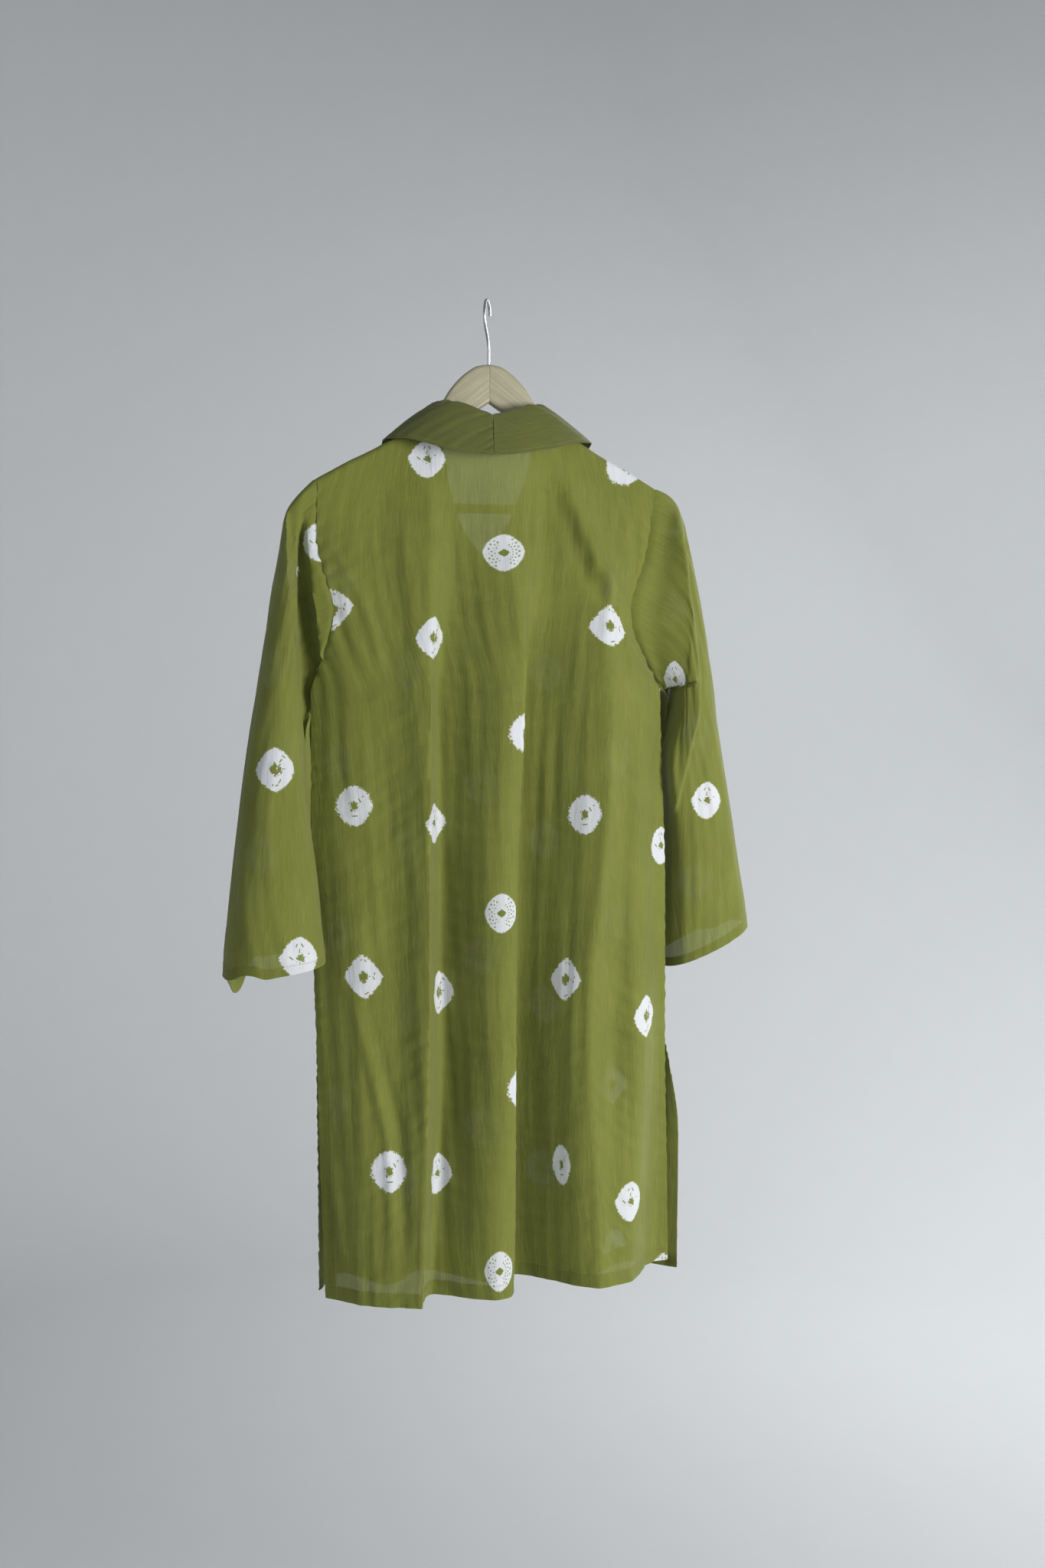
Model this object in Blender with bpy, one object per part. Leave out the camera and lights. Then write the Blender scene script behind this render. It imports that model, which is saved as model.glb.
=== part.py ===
"""Kurta tunic hanging on a wooden clothes hanger, seen from its back at -Y.

The origin is the inside top of the hanger's hook, where a rail carries it. +Z is up, +Y is the way
the tunic's front faces and +X is towards the wearer's right sleeve. Tables and sizes are in
millimetres, and build() scales them to metres.
"""
import math

import bmesh
import bpy
import numpy as np

MM = 0.001

# ---------------------------------------------------------------- driving sizes
WALL = 1.2              # cloth wall
SEAM_GAP = 0.3          # between pieces that are sewn together
SEAT_GAP = 0.4          # between the cloth and the wood that carries it
HANGER_X = 1.5          # the hanger's centre joint
HANGER_THICK = 12.0
WOOD_EDGE = 4.5         # rounding of the wood's long edges
NECK_HALF = 72.0        # from the hanger's centre to where the shoulder seams meet the neck
HEM_BACK = -1037.0
ARMPIT = -415.0
SLIT_TOP = -790.0
SEAM_HALF = (WALL + SEAM_GAP) / 2
BEND = WOOD_EDGE + SEAT_GAP + WALL / 2              # radius of the cloth's bend over the wood's edges
BEND_CENTRE = HANGER_THICK / 2 - WOOD_EDGE
BEND_STEPS = (62.0, 33.0)                          # degrees from upright, towards the shoulder seam
CLOTH_LIFT = 1.6                                   # from the sloping wood up to the cloth's middle

# ---------------------------------------------------------------- tables
# Heights that the fold tables are given at.
#         top     shoulder blade   armpit  waist   slit    thigh   hem
LEVELS = (-140.0, -215.0, -310.0, ARMPIT, -600.0, SLIT_TOP, -905.0, HEM_BACK)

# Back panel: one row a fold line, from the left side seam to the right. "x" and "y" are its place
# at each level. Ridges stand out to -Y and valleys lie back towards the front panel.
BACK_FOLDS = (
    ("left side", "x", (-183, -184, -168, -189, -190.5, -186, -183, -178)),
    ("left side", "y", (-7, -9, -18, -2, -14, -24, -26, -30)),
    ("left drag", "x", (-156, -156, -148, -158, -159, -138, -129, -124)),
    ("left drag", "y", (-8, -12, -24, -28, -42, -66, -80, -89)),
    ("left dip", "x", (-108, -112, -112, -117, -110, -104, -104, -104)),
    ("left dip", "y", (-8, -13, -26, -31, -36, -52, -72, -88)),
    ("left ridge", "x", (-70.5, -67, -70, -72, -76, -79, -83, -88)),
    ("left ridge", "y", (-8, -22, -38, -48, -60, -74, -80, -84)),
    ("left valley", "x", (-42, -41, -36, -33, -31, -31, -36, -47)),
    ("left valley", "y", (-20, -18, -24, -24, -26, -34, -40, -50)),
    ("centre ridge", "x", (10, 14, 12, 8, -6, -10, -12, -14)),
    ("centre ridge", "y", (-27, -25, -42, -54, -62, -70, -76, -81)),
    ("centre lip", "x", (34, 34, 30, 26, 15, 11, 9, 6)),
    ("centre lip", "y", (-25, -24, -41, -54, -60, -70, -75, -78)),
    ("centre valley", "x", (54, 60, 59, 58, 52, 48, 46, 45)),
    ("centre valley", "y", (-19, -17, -22, -18, -16, -17, -18, -19)),
    ("right ridge", "x", (73.5, 92, 126, 122, 110, 93, 94, 101)),
    ("right ridge", "y", (-8, -22, -36, -50, -58, -64, -72, -80)),
    ("right dip", "x", (110, 124, 139, 146, 133, 124, 120, 120)),
    ("right dip", "y", (-8, -14, -31, -38, -44, -50, -62, -78)),
    ("right drag", "x", (142, 150, 146, 163, 156, 151, 145, 139)),
    ("right drag", "y", (-8, -12, -26, -32, -44, -58, -65, -70)),
    ("right tuck", "x", (166, 168, 152, 181, 186, 184, 180, 176)),
    ("right tuck", "y", (-8, -10, -21, -14, -16, -22, -24, -25)),
    ("right side", "x", (187, 179, 157, 194, 198, 196, 197, 197)),
    ("right side", "y", (-7, -9, -18, -2, -8, -14, -17, -20)),
)
BACK_COLUMNS = (4, 4, 3, 4, 4, 3, 4, 5, 3, 3, 3, 2)     # mesh columns between the fold lines

# Front panel: the same. Its ridges stand out to +Y.
FRONT_FOLDS = (
    ("left side", "x", (-183, -184, -168, -189, -190.5, -186, -183, -181)),
    ("left side", "y", (7, 9, 18, -2, -14, -24, -12, -2)),
    ("left ridge", "x", (-150, -150, -138, -146, -150, -150, -149, -148)),
    ("left ridge", "y", (8, 12, 26, 32, 36, 42, 48, 55)),
    ("left valley", "x", (-110, -108, -104, -108, -106, -106, -105, -104)),
    ("left valley", "y", (8, 11, 16, 14, 16, 16, 18, 22)),
    ("left breast", "x", (-70.5, -66, -62, -62, -60, -58, -57, -56)),
    ("left breast", "y", (8, 22, 34, 44, 52, 58, 62, 66)),
    ("centre fall", "x", (4, 4, 6, 8, 10, 12, 13, 14)),
    ("centre fall", "y", (28, 27, 22, 20, 18, 20, 22, 24)),
    ("right breast", "x", (73.5, 64, 62, 60, 60, 62, 64, 66)),
    ("right breast", "y", (8, 22, 34, 46, 54, 62, 67, 72)),
    ("right valley", "x", (115, 112, 106, 112, 112, 114, 116, 118)),
    ("right valley", "y", (8, 11, 16, 16, 18, 20, 23, 26)),
    ("right ridge", "x", (155, 150, 134, 155, 160, 164, 172, 178)),
    ("right ridge", "y", (8, 11, 24, 28, 34, 44, 54, 60)),
    ("right side", "x", (187, 179, 157, 194, 198, 196, 225, 227)),
    ("right side", "y", (7, 9, 18, -2, -8, -14, 20, 30)),
)
FRONT_COLUMNS = (4, 4, 4, 7, 7, 4, 4, 4)
FRONT_HEM = (-1040.0, -1052.0, -1060.0, -1064.0, -1067.0)    # evenly spaced, left to right

# The panels' neck edges from the left neck point to the right one. "column" counts the mesh columns.
#    column    x      y     z
FRONT_NECK = (
    (0, -70.5, 0.75, -129.6),
    (1, -69.1, 10.8, -132.3),
    (2, -65.7, 15.2, -135.5),
    (3, -54.0, 20.0, -150.0),
    (4, -42.0, 22.0, -167.0),
    (5, -35.0, 24.0, -203.0),
    (6, -19.0, 27.0, -244.0),
    (7, 4.0, 28.0, -268.0),
    (8, 25.0, 27.0, -244.0),
    (9, 43.0, 24.0, -203.0),
    (10, 54.5, 22.0, -167.0),
    (11, 62.0, 20.0, -150.0),
    (12, 68.7, 15.2, -135.5),
    (13, 72.1, 10.8, -132.3),
    (14, 73.5, 0.75, -129.6),
)
BACK_NECK = (
    (0, -70.5, -0.75, -129.6),
    (1, -69.1, -10.8, -132.3),
    (2, -65.7, -15.2, -135.5),
    (3, -57.5, -18.5, -138.6),
    (4, -46.0, -21.0, -142.8),
    (6, -16.0, -24.0, -150.2),
    (7, 0.0, -24.4, -151.2),
    (8, 12.0, -24.2, -151.0),
    (11, 34.0, -22.5, -148.0),
    (15, 54.0, -19.5, -141.0),
    (17, 63.0, -17.3, -137.3),
    (18, 68.7, -15.2, -135.5),
    (19, 72.1, -10.8, -132.3),
    (20, 73.5, -0.75, -129.6),
)
CENTRE_BACK = 7             # the back's mesh column that its centre line is on

# Rows of the panels' meshes between the shoulder's bend and the armpit, 1 at the bend, 0 at the armpit.
YOKE_ROWS = (1.0, 0.95, 0.88, 0.78, 0.66, 0.53, 0.4, 0.28, 0.17, 0.08, 0.03, 0.0)
BODY_ROWS = (-455.0, -500.0, -550.0, -600.0, -655.0, -710.0, -755.0, SLIT_TOP, -830.0, -880.0,
             -935.0, -990.0, HEM_BACK)

# The hanger's outline against the distance from its centre.
#        out    top     underside
WOOD = (
    (0.15, -67.5, -109.0),
    (12.0, -69.5, -117.0),
    (24.0, -76.5, -125.0),
    (34.0, -85.5, -131.5),
    (43.0, -96.5, -137.5),
    (51.0, -109.5, -143.0),
    (60.0, -120.0, -149.0),
    (72.0, -131.2, -157.0),
    (85.0, -139.5, -165.0),
    (102.0, -150.0, -175.0),
    (126.0, -164.5, -189.0),
    (150.0, -176.5, -203.0),
    (172.0, -189.0, -216.5),
    (186.0, -197.2, -225.0),
    (200.0, -211.5, -233.0),
    (209.0, -224.0, -238.5),
    (213.5, -231.5, -240.0),
)
BAR_Z = -222.0
BAR_RADIUS = 5.0

WIRE_RADIUS = 1.5
HOOK_RADIUS = 19.0          # inside
HOOK_TURN = math.radians(22.5)      # the hook's plane, turned from the YZ plane about Z
HOOK_TIP = math.radians(22.0)       # where the far end stops, above level
STEM_FOOT = -90.0
STEM_TOP = -51.0

# Sleeves, from the shoulder to the cuff. "out" and "in" are the distances from X = 0 of the outer
# fold and of the underarm fold, with their heights. "mid" is their Y, and "back" and "front" are the
# section's depths behind and before it. "lean" moves the front half towards the body, and "drop"
# lets it hang down beside the outer fold.
#  out_x  out_z   in_x   in_z    mid   back  front  lean  drop
LEFT_SLEEVE = (
    (184.0, -195.0, 189.0, -415.0, -1.0, 14.0, 14.0, 0.0, 0.0),
    (199.5, -209.5, 194.5, -420.0, 0.0, 13.0, 13.0, 0.0, 0.0),
    (211.5, -225.0, 199.0, -426.0, 0.0, 19.0, 19.0, 0.0, 0.0),
    (217.0, -238.0, 200.5, -434.0, -5.0, 27.0, 28.0, 4.0, 0.0),
    (220.5, -256.0, 200.5, -446.0, -10.0, 31.0, 36.0, 10.0, 0.0),
    (225.5, -285.0, 199.5, -464.0, -13.0, 34.0, 42.0, 17.0, 0.0),
    (236.0, -350.0, 198.5, -492.0, -18.0, 37.0, 48.0, 20.0, 0.0),
    (248.5, -425.0, 197.5, -525.0, -25.0, 40.0, 54.0, 15.0, 0.0),
    (260.0, -497.0, 193.5, -563.0, -32.0, 43.0, 58.0, 5.0, 2.0),
    (269.0, -567.0, 189.0, -605.0, -39.0, 45.0, 62.0, -7.0, 8.0),
    (277.0, -632.0, 186.0, -645.0, -46.0, 47.0, 64.0, -10.0, 18.0),
    (281.0, -668.0, 184.0, -667.0, -50.0, 48.0, 65.0, -11.0, 26.0),
    (283.0, -699.0, 182.5, -686.0, -53.0, 49.0, 66.0, -13.0, 32.0),
)
RIGHT_SLEEVE = (
    (188.0, -195.0, 194.0, -415.0, 1.0, 14.0, 14.0, 0.0, 0.0),
    (205.0, -203.0, 200.0, -419.0, 0.0, 13.0, 13.0, 0.0, 0.0),
    (214.5, -215.0, 206.0, -423.0, 0.0, 19.0, 19.0, 0.0, 0.0),
    (221.0, -230.0, 211.0, -430.0, 3.0, 26.0, 26.0, 1.0, 0.0),
    (225.0, -245.0, 214.0, -441.0, 5.0, 30.0, 30.0, 3.0, 0.0),
    (231.0, -268.0, 214.0, -458.0, 8.0, 34.0, 34.0, 5.0, 0.0),
    (245.0, -325.0, 212.0, -489.0, 14.0, 38.0, 38.0, 6.0, 0.0),
    (259.0, -405.0, 210.0, -527.0, 20.0, 41.0, 41.0, 5.0, 0.0),
    (272.0, -480.0, 208.0, -571.0, 26.0, 43.0, 43.0, 4.0, 0.0),
    (286.0, -550.0, 207.0, -620.0, 31.0, 45.0, 45.0, 3.0, 0.0),
    (298.0, -615.0, 207.0, -670.0, 35.0, 47.0, 47.0, 2.0, 3.0),
    (305.0, -652.0, 208.0, -700.0, 37.0, 48.0, 48.0, 2.0, 5.0),
    (309.0, -682.0, 209.0, -726.0, 38.0, 49.0, 49.0, 2.0, 6.0),
)
SLEEVE_BLUNT = 2.5          # power of the sections' superellipse
FLAP_SHARE = 0.36           # how much of a cuff's front half hangs down, from the outer fold
FLAP_LIFT = -0.2            # how far the back half rises there, as a share of "drop"
HEAD_EASE = 1.12            # how much wider than the panels' bend the sleeve's head is over the wood
WOOD_RINGS = 4              # rings that reach over the wood

# Collar, from its front end round to the centre back. "step" counts the neck edges' mesh columns from
# the front end, "roll" is the fold along the collar's top and "edge" the free edge of its leaf.
#   step   roll x, y, z              edge x, y, z
COLLAR_LEFT = (
    (0, (-42.5, 26.0, -160.0), (-84.0, 33.0, -214.0)),
    (1, (-48.5, 23.0, -136.0), (-94.0, 29.0, -200.0)),
    (2, (-54.0, 17.5, -121.0), (-104.0, 22.0, -179.0)),
    (3, (-57.0, 9.0, -114.0), (-112.0, 13.0, -158.5)),
    (4, (-57.5, -1.0, -111.5), (-113.0, -2.0, -151.8)),
    (5, (-55.0, -11.0, -111.0), (-106.0, -13.0, -151.3)),
    (6, (-50.0, -16.5, -111.2), (-94.0, -22.0, -152.0)),
    (7, (-42.5, -20.5, -112.0), (-78.0, -30.0, -156.0)),
    (8, (-33.0, -23.5, -114.0), (-60.0, -36.5, -161.5)),
    (9, (-22.0, -26.0, -118.0), (-42.0, -41.5, -166.0)),
    (10, (-11.0, -27.5, -122.5), (-23.0, -44.5, -168.5)),
    (11, (-1.0, -28.5, -125.5), (-4.0, -46.0, -169.5)),
)
COLLAR_RIGHT = (
    (0, (55.5, 26.0, -160.0), (96.0, 33.0, -212.0)),
    (1, (58.5, 23.0, -136.0), (104.0, 29.0, -198.0)),
    (2, (60.0, 17.5, -122.0), (111.0, 22.0, -176.0)),
    (3, (61.0, 9.0, -114.0), (115.5, 12.0, -158.0)),
    (4, (61.0, -1.0, -111.5), (116.5, -2.0, -148.5)),
    (5, (58.5, -11.0, -111.0), (107.5, -13.0, -148.8)),
    (6, (53.5, -16.5, -111.3), (94.0, -22.0, -151.0)),
    (7, (48.5, -19.0, -111.8), (84.0, -27.5, -153.8)),
    (9, (38.0, -22.0, -113.8), (66.0, -34.5, -158.8)),
    (11, (27.5, -24.0, -117.0), (48.0, -39.5, -162.6)),
    (13, (17.5, -25.8, -120.5), (31.0, -43.0, -165.6)),
    (15, (7.5, -27.6, -124.0), (12.0, -45.5, -168.4)),
    (17, (-1.0, -28.5, -125.5), (-4.0, -46.0, -169.5)),
)
COLLAR_START = 4            # front panel's mesh columns from the neck point to the collar's front end
ROLL_HALF = 1.6             # half the distance between the collar's two layers at its roll
COLLAR_SEAM = 0.7           # between the two halves at the centre back
COLLAR_GAP = 0.6            # from the panels' neck edge to the collar's


# ---------------------------------------------------------------- curves
def through(places, values, at):
    """Smooth curve through values given at rising places, without overshoot."""
    places = np.asarray(places, float)
    values = np.asarray(values, float)
    at = np.atleast_1d(np.asarray(at, float))
    step = np.diff(places)
    flat = values.reshape(len(places), -1)
    slope = np.diff(flat, axis=0) / step[:, None]
    tangent = np.zeros_like(flat)
    tangent[0], tangent[-1] = slope[0], slope[-1]
    for i in range(1, len(places) - 1):
        before, after = slope[i - 1], slope[i]
        same = before * after > 0
        weight_a, weight_b = 2 * step[i] + step[i - 1], step[i] + 2 * step[i - 1]
        total = weight_a / np.where(same, before, 1) + weight_b / np.where(same, after, 1)
        tangent[i] = np.where(same, (weight_a + weight_b) / np.where(same, total, 1), 0)
    k = np.clip(np.searchsorted(places, at, side="right") - 1, 0, len(step) - 1)
    t = ((at - places[k]) / step[k])[:, None]
    h = step[k][:, None]
    curve = ((1 + 2 * t) * (1 - t) ** 2 * flat[k] + t * (1 - t) ** 2 * h * tangent[k]
             + t * t * (3 - 2 * t) * flat[k + 1] + t * t * (t - 1) * h * tangent[k + 1])
    return curve.reshape((len(at),) + values.shape[1:])


def bend_through(points, counts):
    """Round curve through points, with counts[i] steps between point i and the next."""
    points = np.asarray(points, float)
    length = np.sqrt(np.linalg.norm(np.diff(points, axis=0), axis=1) + 1e-6)
    place = np.concatenate([[0.0], np.cumsum(length)])
    slope = np.diff(points, axis=0) / length[:, None]
    tangent = np.empty_like(points)
    tangent[0], tangent[-1] = slope[0], slope[-1]
    share = (length[:-1] / (length[:-1] + length[1:]))[:, None]
    tangent[1:-1] = slope[:-1] * (1 - share) + slope[1:] * share
    curve = []
    for i, count in enumerate(counts):
        h = length[i]
        for j in range(count + (i == len(counts) - 1)):
            t = j / count
            curve.append((1 + 2 * t) * (1 - t) ** 2 * points[i] + t * (1 - t) ** 2 * h * tangent[i]
                         + t * t * (3 - 2 * t) * points[i + 1] + t * t * (t - 1) * h * tangent[i + 1])
    return np.array(curve)


def wood_line(out, column):
    """Height of the hanger's top (column 1) or underside (column 2) at a distance from its centre."""
    table = np.array(WOOD)
    return through(table[:, 0], table[:, column], np.clip(out, table[0, 0], table[-1, 0]))


# ---------------------------------------------------------------- panels
def fold_places(folds, level):
    """The fold lines' x and y at one level, a row a fold line.

    The panel's own edges are three curves each: the armhole, the side seam and the slit.
    """
    rising = [-z for z in LEVELS]
    breaks = (0, LEVELS.index(ARMPIT), LEVELS.index(SLIT_TOP), len(LEVELS) - 1)
    first = next(i for i in (2, 1, 0) if level <= LEVELS[breaks[i]])
    span = slice(breaks[first], breaks[first + 1] + 1)

    def column(axis):
        rows = [row[2] for row in folds if row[1] == axis]
        places = [through(rising, row, -level)[0] for row in rows]
        for edge in (0, -1):
            places[edge] = through(rising[span], rows[edge][span], -level)[0]
        return places

    return np.column_stack([column("x"), column("y")])


def top_edge(x, neckline):
    """A panel's upper edge: the shoulder line at the columns' x, and the neckline between its ends."""
    out = np.maximum(np.abs(x - HANGER_X), NECK_HALF)
    edge = np.column_stack([x, np.zeros_like(x), wood_line(out, 1) + CLOTH_LIFT])
    table = np.array(neckline)
    neck = np.abs(x - HANGER_X) < NECK_HALF - 0.01
    first = int(np.argmax(neck)) - 1
    neck_points = through(table[:, 0], table[:, 1:], range(1, int(table[-1, 0])))
    edge[first + 1:first + 1 + len(neck_points)] = neck_points
    return edge, neck, first


def panel(folds, columns, side, neckline, hem):
    """Mid-surface of a panel as rows of points. side is -1 for the back and 1 for the front."""
    knots = bend_through(fold_places(folds, LEVELS[0]), columns)
    edge, neck, _ = top_edge(knots[:, 0], neckline)
    edge_x, edge_y, edge_z = edge.T
    bend_y = side * (BEND_CENTRE + BEND)
    bend_z = edge_z - BEND
    rows = [np.column_stack([edge_x, np.where(neck, edge_y, side * SEAM_HALF), edge_z])]
    for degrees in reversed(BEND_STEPS):
        angle = math.radians(degrees)
        y = np.where(neck, edge_y, side * (BEND_CENTRE + BEND * math.sin(angle)))
        z = edge_z - BEND * (1 - math.cos(angle))
        rows.append(np.column_stack([edge_x, y, z]))
    for share in YOKE_ROWS:
        level = ARMPIT + share * (LEVELS[0] - ARMPIT)
        section = bend_through(fold_places(folds, level), columns)
        pull = share ** 3
        z = ARMPIT + share * (bend_z - ARMPIT)
        x = section[:, 0] + pull * (edge_x - knots[:, 0])
        held = np.where(neck, edge_y, bend_y)
        y = section[:, 1] + share ** 8 * (held - section[:, 1])
        rows.append(np.column_stack([x, y, z]))
    for level in BODY_ROWS:
        section = bend_through(fold_places(folds, level), columns)
        share = np.clip((SLIT_TOP - level) / (SLIT_TOP - HEM_BACK), 0, 1)
        drop = through(np.linspace(0, 1, len(hem)), hem, np.linspace(0, 1, len(section))) - HEM_BACK
        rows.append(np.column_stack([section[:, 0], section[:, 1], level + share * drop]))
    grid = np.array(rows)
    for edge in (0, -1):
        grid[len(BEND_STEPS) + len(YOKE_ROWS):, edge, 1] += side * SEAM_HALF
    return grid


def neck_edge(front, back, sign):
    """Neck edge points of one side, from the collar's front end to the centre back.

    With each comes the direction in the cloth that leads away from it, into the neck.
    """
    found = []
    for grid, neckline in ((front, FRONT_NECK), (back, BACK_NECK)):
        _, _, first = top_edge(grid[0, :, 0], neckline)
        point = first if sign < 0 else first + neckline[-1][0]
        steps = COLLAR_START if grid is front else (CENTRE_BACK if sign < 0
                                                    else neckline[-1][0] - CENTRE_BACK)
        columns = [point - sign * i for i in range(steps + 1)]
        edge = grid[0, columns]
        away = grid[0, columns] - grid[1, columns]
        away[0] = grid[0, point] - grid[0, point + sign]
        along = np.gradient(edge, axis=0)
        away -= along * (np.sum(away * along, axis=1) / np.sum(along * along, axis=1))[:, None]
        away /= np.linalg.norm(away, axis=1, keepdims=True)
        found.append((edge, away))
    (front_edge, front_away), (back_edge, back_away) = found
    middle = (front_edge[0] + back_edge[0]) / 2
    edge = np.vstack([front_edge[:0:-1], middle[None], back_edge[1:]])
    away = np.vstack([front_away[:0:-1], back_away[:1], back_away[1:]])
    return edge, away


# ---------------------------------------------------------------- sleeves
def sleeve(table, sign, back, front, edge):
    """Mid-surface of a sleeve: rings from the armhole to the cuff, the outer fold first.

    The first ring lies along the panels' armhole edges, so its points share their rows.
    """
    last = 1 + len(BEND_STEPS) + len(YOKE_ROWS)
    back_edge, front_edge = back[:last, edge], front[:last, edge]
    head = np.vstack([back_edge[:1], back_edge[1:last - 1], back_edge[last - 1:],
                      front_edge[last - 2:0:-1]])
    head[0] = (back_edge[0] + front_edge[0]) / 2
    head[last - 1] = (back_edge[last - 1] + front_edge[last - 1]) / 2
    head[:, 0] += sign * (WALL / 2 + SEAM_GAP)
    fall = (head[0, 2] - head[:, 2]) / (head[0, 2] - head[last - 1, 2])
    facing = np.concatenate([[0], -np.ones(last - 2), [0], np.ones(last - 2)])
    round_share = np.clip(1 - np.abs(2 * fall - 1) ** SLEEVE_BLUNT, 0, 1) ** (1 / SLEEVE_BLUNT)
    flap = np.sin(math.pi * np.clip(fall / FLAP_SHARE, 0, 1)) ** 2
    drop_out = head[0, 2] - head[:, 2]
    over = BEND_CENTRE + np.sqrt(np.clip(BEND ** 2 - np.clip(BEND - drop_out, 0, BEND) ** 2, 0, None))
    over[0] = 0.0
    over *= HEAD_EASE
    rings = []
    for k, (out_x, out_z, in_x, in_z, mid, back_deep, front_deep, lean, drop) in enumerate(table):
        in_front = facing > 0
        x = sign * (out_x + (in_x - out_x) * fall - lean * round_share * fall ** 2 * in_front)
        y = mid + np.where(in_front, front_deep, -back_deep) * round_share
        z = out_z + (in_z - out_z) * fall - drop * flap * np.where(in_front, 1.0, FLAP_LIFT)
        ring = np.column_stack([x, y, z])
        if k == 0:
            rest = head - ring
        ring += rest * max(0.0, 1 - k / 4) ** 1.5
        if 0 < k < WOOD_RINGS:
            tight = (np.abs(ring[:, 1]) < over) & (fall < 0.5)
            ring[tight, 1] = (facing * over)[tight]
        rings.append(ring)
    return np.array(rings)


# ---------------------------------------------------------------- collar
def collar(table, sign, neck):
    """Mid-surface of half the collar: rows from its front end to the centre back."""
    edge_points, away = neck
    steps = [row[0] for row in table]
    at = [i / 2 for i in range(2 * COLLAR_START)] + list(range(COLLAR_START, steps[-1] + 1))
    roll, edge = (through(steps, [row[i] for row in table], at) for i in (1, 2))
    whole = np.arange(len(edge_points))
    seam = np.column_stack([np.interp(at, whole, edge_points[:, i] + away[:, i] * COLLAR_GAP)
                            for i in range(3)])
    rows = []
    for s, r, e in zip(seam, roll, edge):
        stand, leaf = (s - r) / np.linalg.norm(s - r), (e - r) / np.linalg.norm(e - r)
        along = (stand + leaf) / np.linalg.norm(stand + leaf)
        apart = leaf - stand - along * np.dot(leaf - stand, along)
        apart *= ROLL_HALF / np.linalg.norm(apart)
        size = min(1.0, np.linalg.norm(s - r) / 14)
        belly = apart * 1.6
        rows.append([s, s + (r - s) * 0.5 - apart * 0.4 * size, r + stand * 4 * size - apart * size,
                     r + (along * 0.7 - apart * 0.85) * size, r - along * size,
                     r + (along * 0.7 + apart * 0.85) * size, r + leaf * 4 + apart,
                     r + (e - r) * 0.35 + belly, r + (e - r) * 0.7 + belly * 0.7, e])
    grid = np.array(rows)
    grid[-1, :, 0] += sign * COLLAR_SEAM / 2
    return grid


# ---------------------------------------------------------------- solids
def normals(grid, ring):
    """Unit normals of a grid of points. ring says that its columns close round."""
    down = np.gradient(grid, axis=0)
    if ring:
        across = (np.roll(grid, -1, axis=1) - np.roll(grid, 1, axis=1)) / 2
    else:
        across = np.gradient(grid, axis=1)
    normal = np.cross(across, down)
    return normal / np.maximum(np.linalg.norm(normal, axis=2, keepdims=True), 1e-9)


def wall(grid, ring=False, thickness=WALL):
    """Vertices and faces of a closed wall of one thickness round a mid-surface.

    Both sides of a cell are split along its shorter diagonal, so that they stay parallel.
    """
    rows, columns = grid.shape[:2]
    offset = normals(grid, ring) * thickness / 2
    points = np.concatenate([(grid + offset).reshape(-1, 3), (grid - offset).reshape(-1, 3)])
    faces = []

    def index(layer, row, column):
        return layer * rows * columns + row * columns + column % columns

    for row in range(rows - 1):
        for column in range(columns if ring else columns - 1):
            cell = [(row, column), (row + 1, column), (row + 1, column + 1), (row, column + 1)]
            place = [grid[r, c % columns] for r, c in cell]
            if np.linalg.norm(place[2] - place[0]) > np.linalg.norm(place[3] - place[1]):
                cell = cell[1:] + cell[:1]
            for half in (cell[:3], [cell[0], cell[2], cell[3]]):
                faces.append([index(0, r, c) for r, c in half])
                faces.append([index(1, r, c) for r, c in reversed(half)])
    for row in (0, rows - 1):
        for column in range(columns if ring else columns - 1):
            face = [index(0, row, column), index(0, row, column + 1),
                    index(1, row, column + 1), index(1, row, column)]
            faces.append(face if row == 0 else face[::-1])
    if not ring:
        for column in (0, columns - 1):
            for row in range(rows - 1):
                face = [index(0, row, column), index(1, row, column),
                        index(1, row + 1, column), index(0, row + 1, column)]
                faces.append(face if column == 0 else face[::-1])
    return points, faces


def tube(path, radius, sides, up=(1.0, 0.0, 0.0)):
    """Vertices and faces of a closed round bar along a path."""
    path = np.asarray(path, float)
    tangent = np.gradient(path, axis=0)
    tangent /= np.linalg.norm(tangent, axis=1, keepdims=True)
    first = np.cross(tangent, np.asarray(up, float))
    first /= np.linalg.norm(first, axis=1, keepdims=True)
    second = np.cross(tangent, first)
    turn = np.linspace(0, 2 * math.pi, sides, endpoint=False)
    rings = (path[:, None] + radius * (first[:, None] * np.cos(turn)[None, :, None]
                                       + second[:, None] * np.sin(turn)[None, :, None]))
    return loft(rings)


def loft(rings):
    """Vertices and faces of a solid through closed rings, with flat ends."""
    rings = np.asarray(rings, float)
    count, sides = rings.shape[:2]
    faces = [[(r * sides + i), (r * sides + (i + 1) % sides), ((r + 1) * sides + (i + 1) % sides),
              ((r + 1) * sides + i)] for r in range(count - 1) for i in range(sides)]
    faces.append([i for i in range(sides)][::-1])
    faces.append([(count - 1) * sides + i for i in range(sides)])
    return rings.reshape(-1, 3), faces


def build(name, shape, material):
    """Makes the object from vertices in millimetres, with its faces pointing out."""
    points, faces = shape
    mesh = bpy.data.meshes.new(name)
    mesh.from_pydata([tuple(p * MM) for p in np.asarray(points)], [], faces)
    work = bmesh.new()
    work.from_mesh(mesh)
    bmesh.ops.recalc_face_normals(work, faces=work.faces)
    if work.calc_volume(signed=True) < 0:
        bmesh.ops.reverse_faces(work, faces=work.faces)
    work.to_mesh(mesh)
    work.free()
    mesh.materials.append(material)
    mesh.shade_smooth()
    mesh.set_sharp_from_angle(angle=math.radians(50))
    part = bpy.data.objects.new(name, mesh)
    bpy.context.scene.collection.objects.link(part)
    return part


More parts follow.
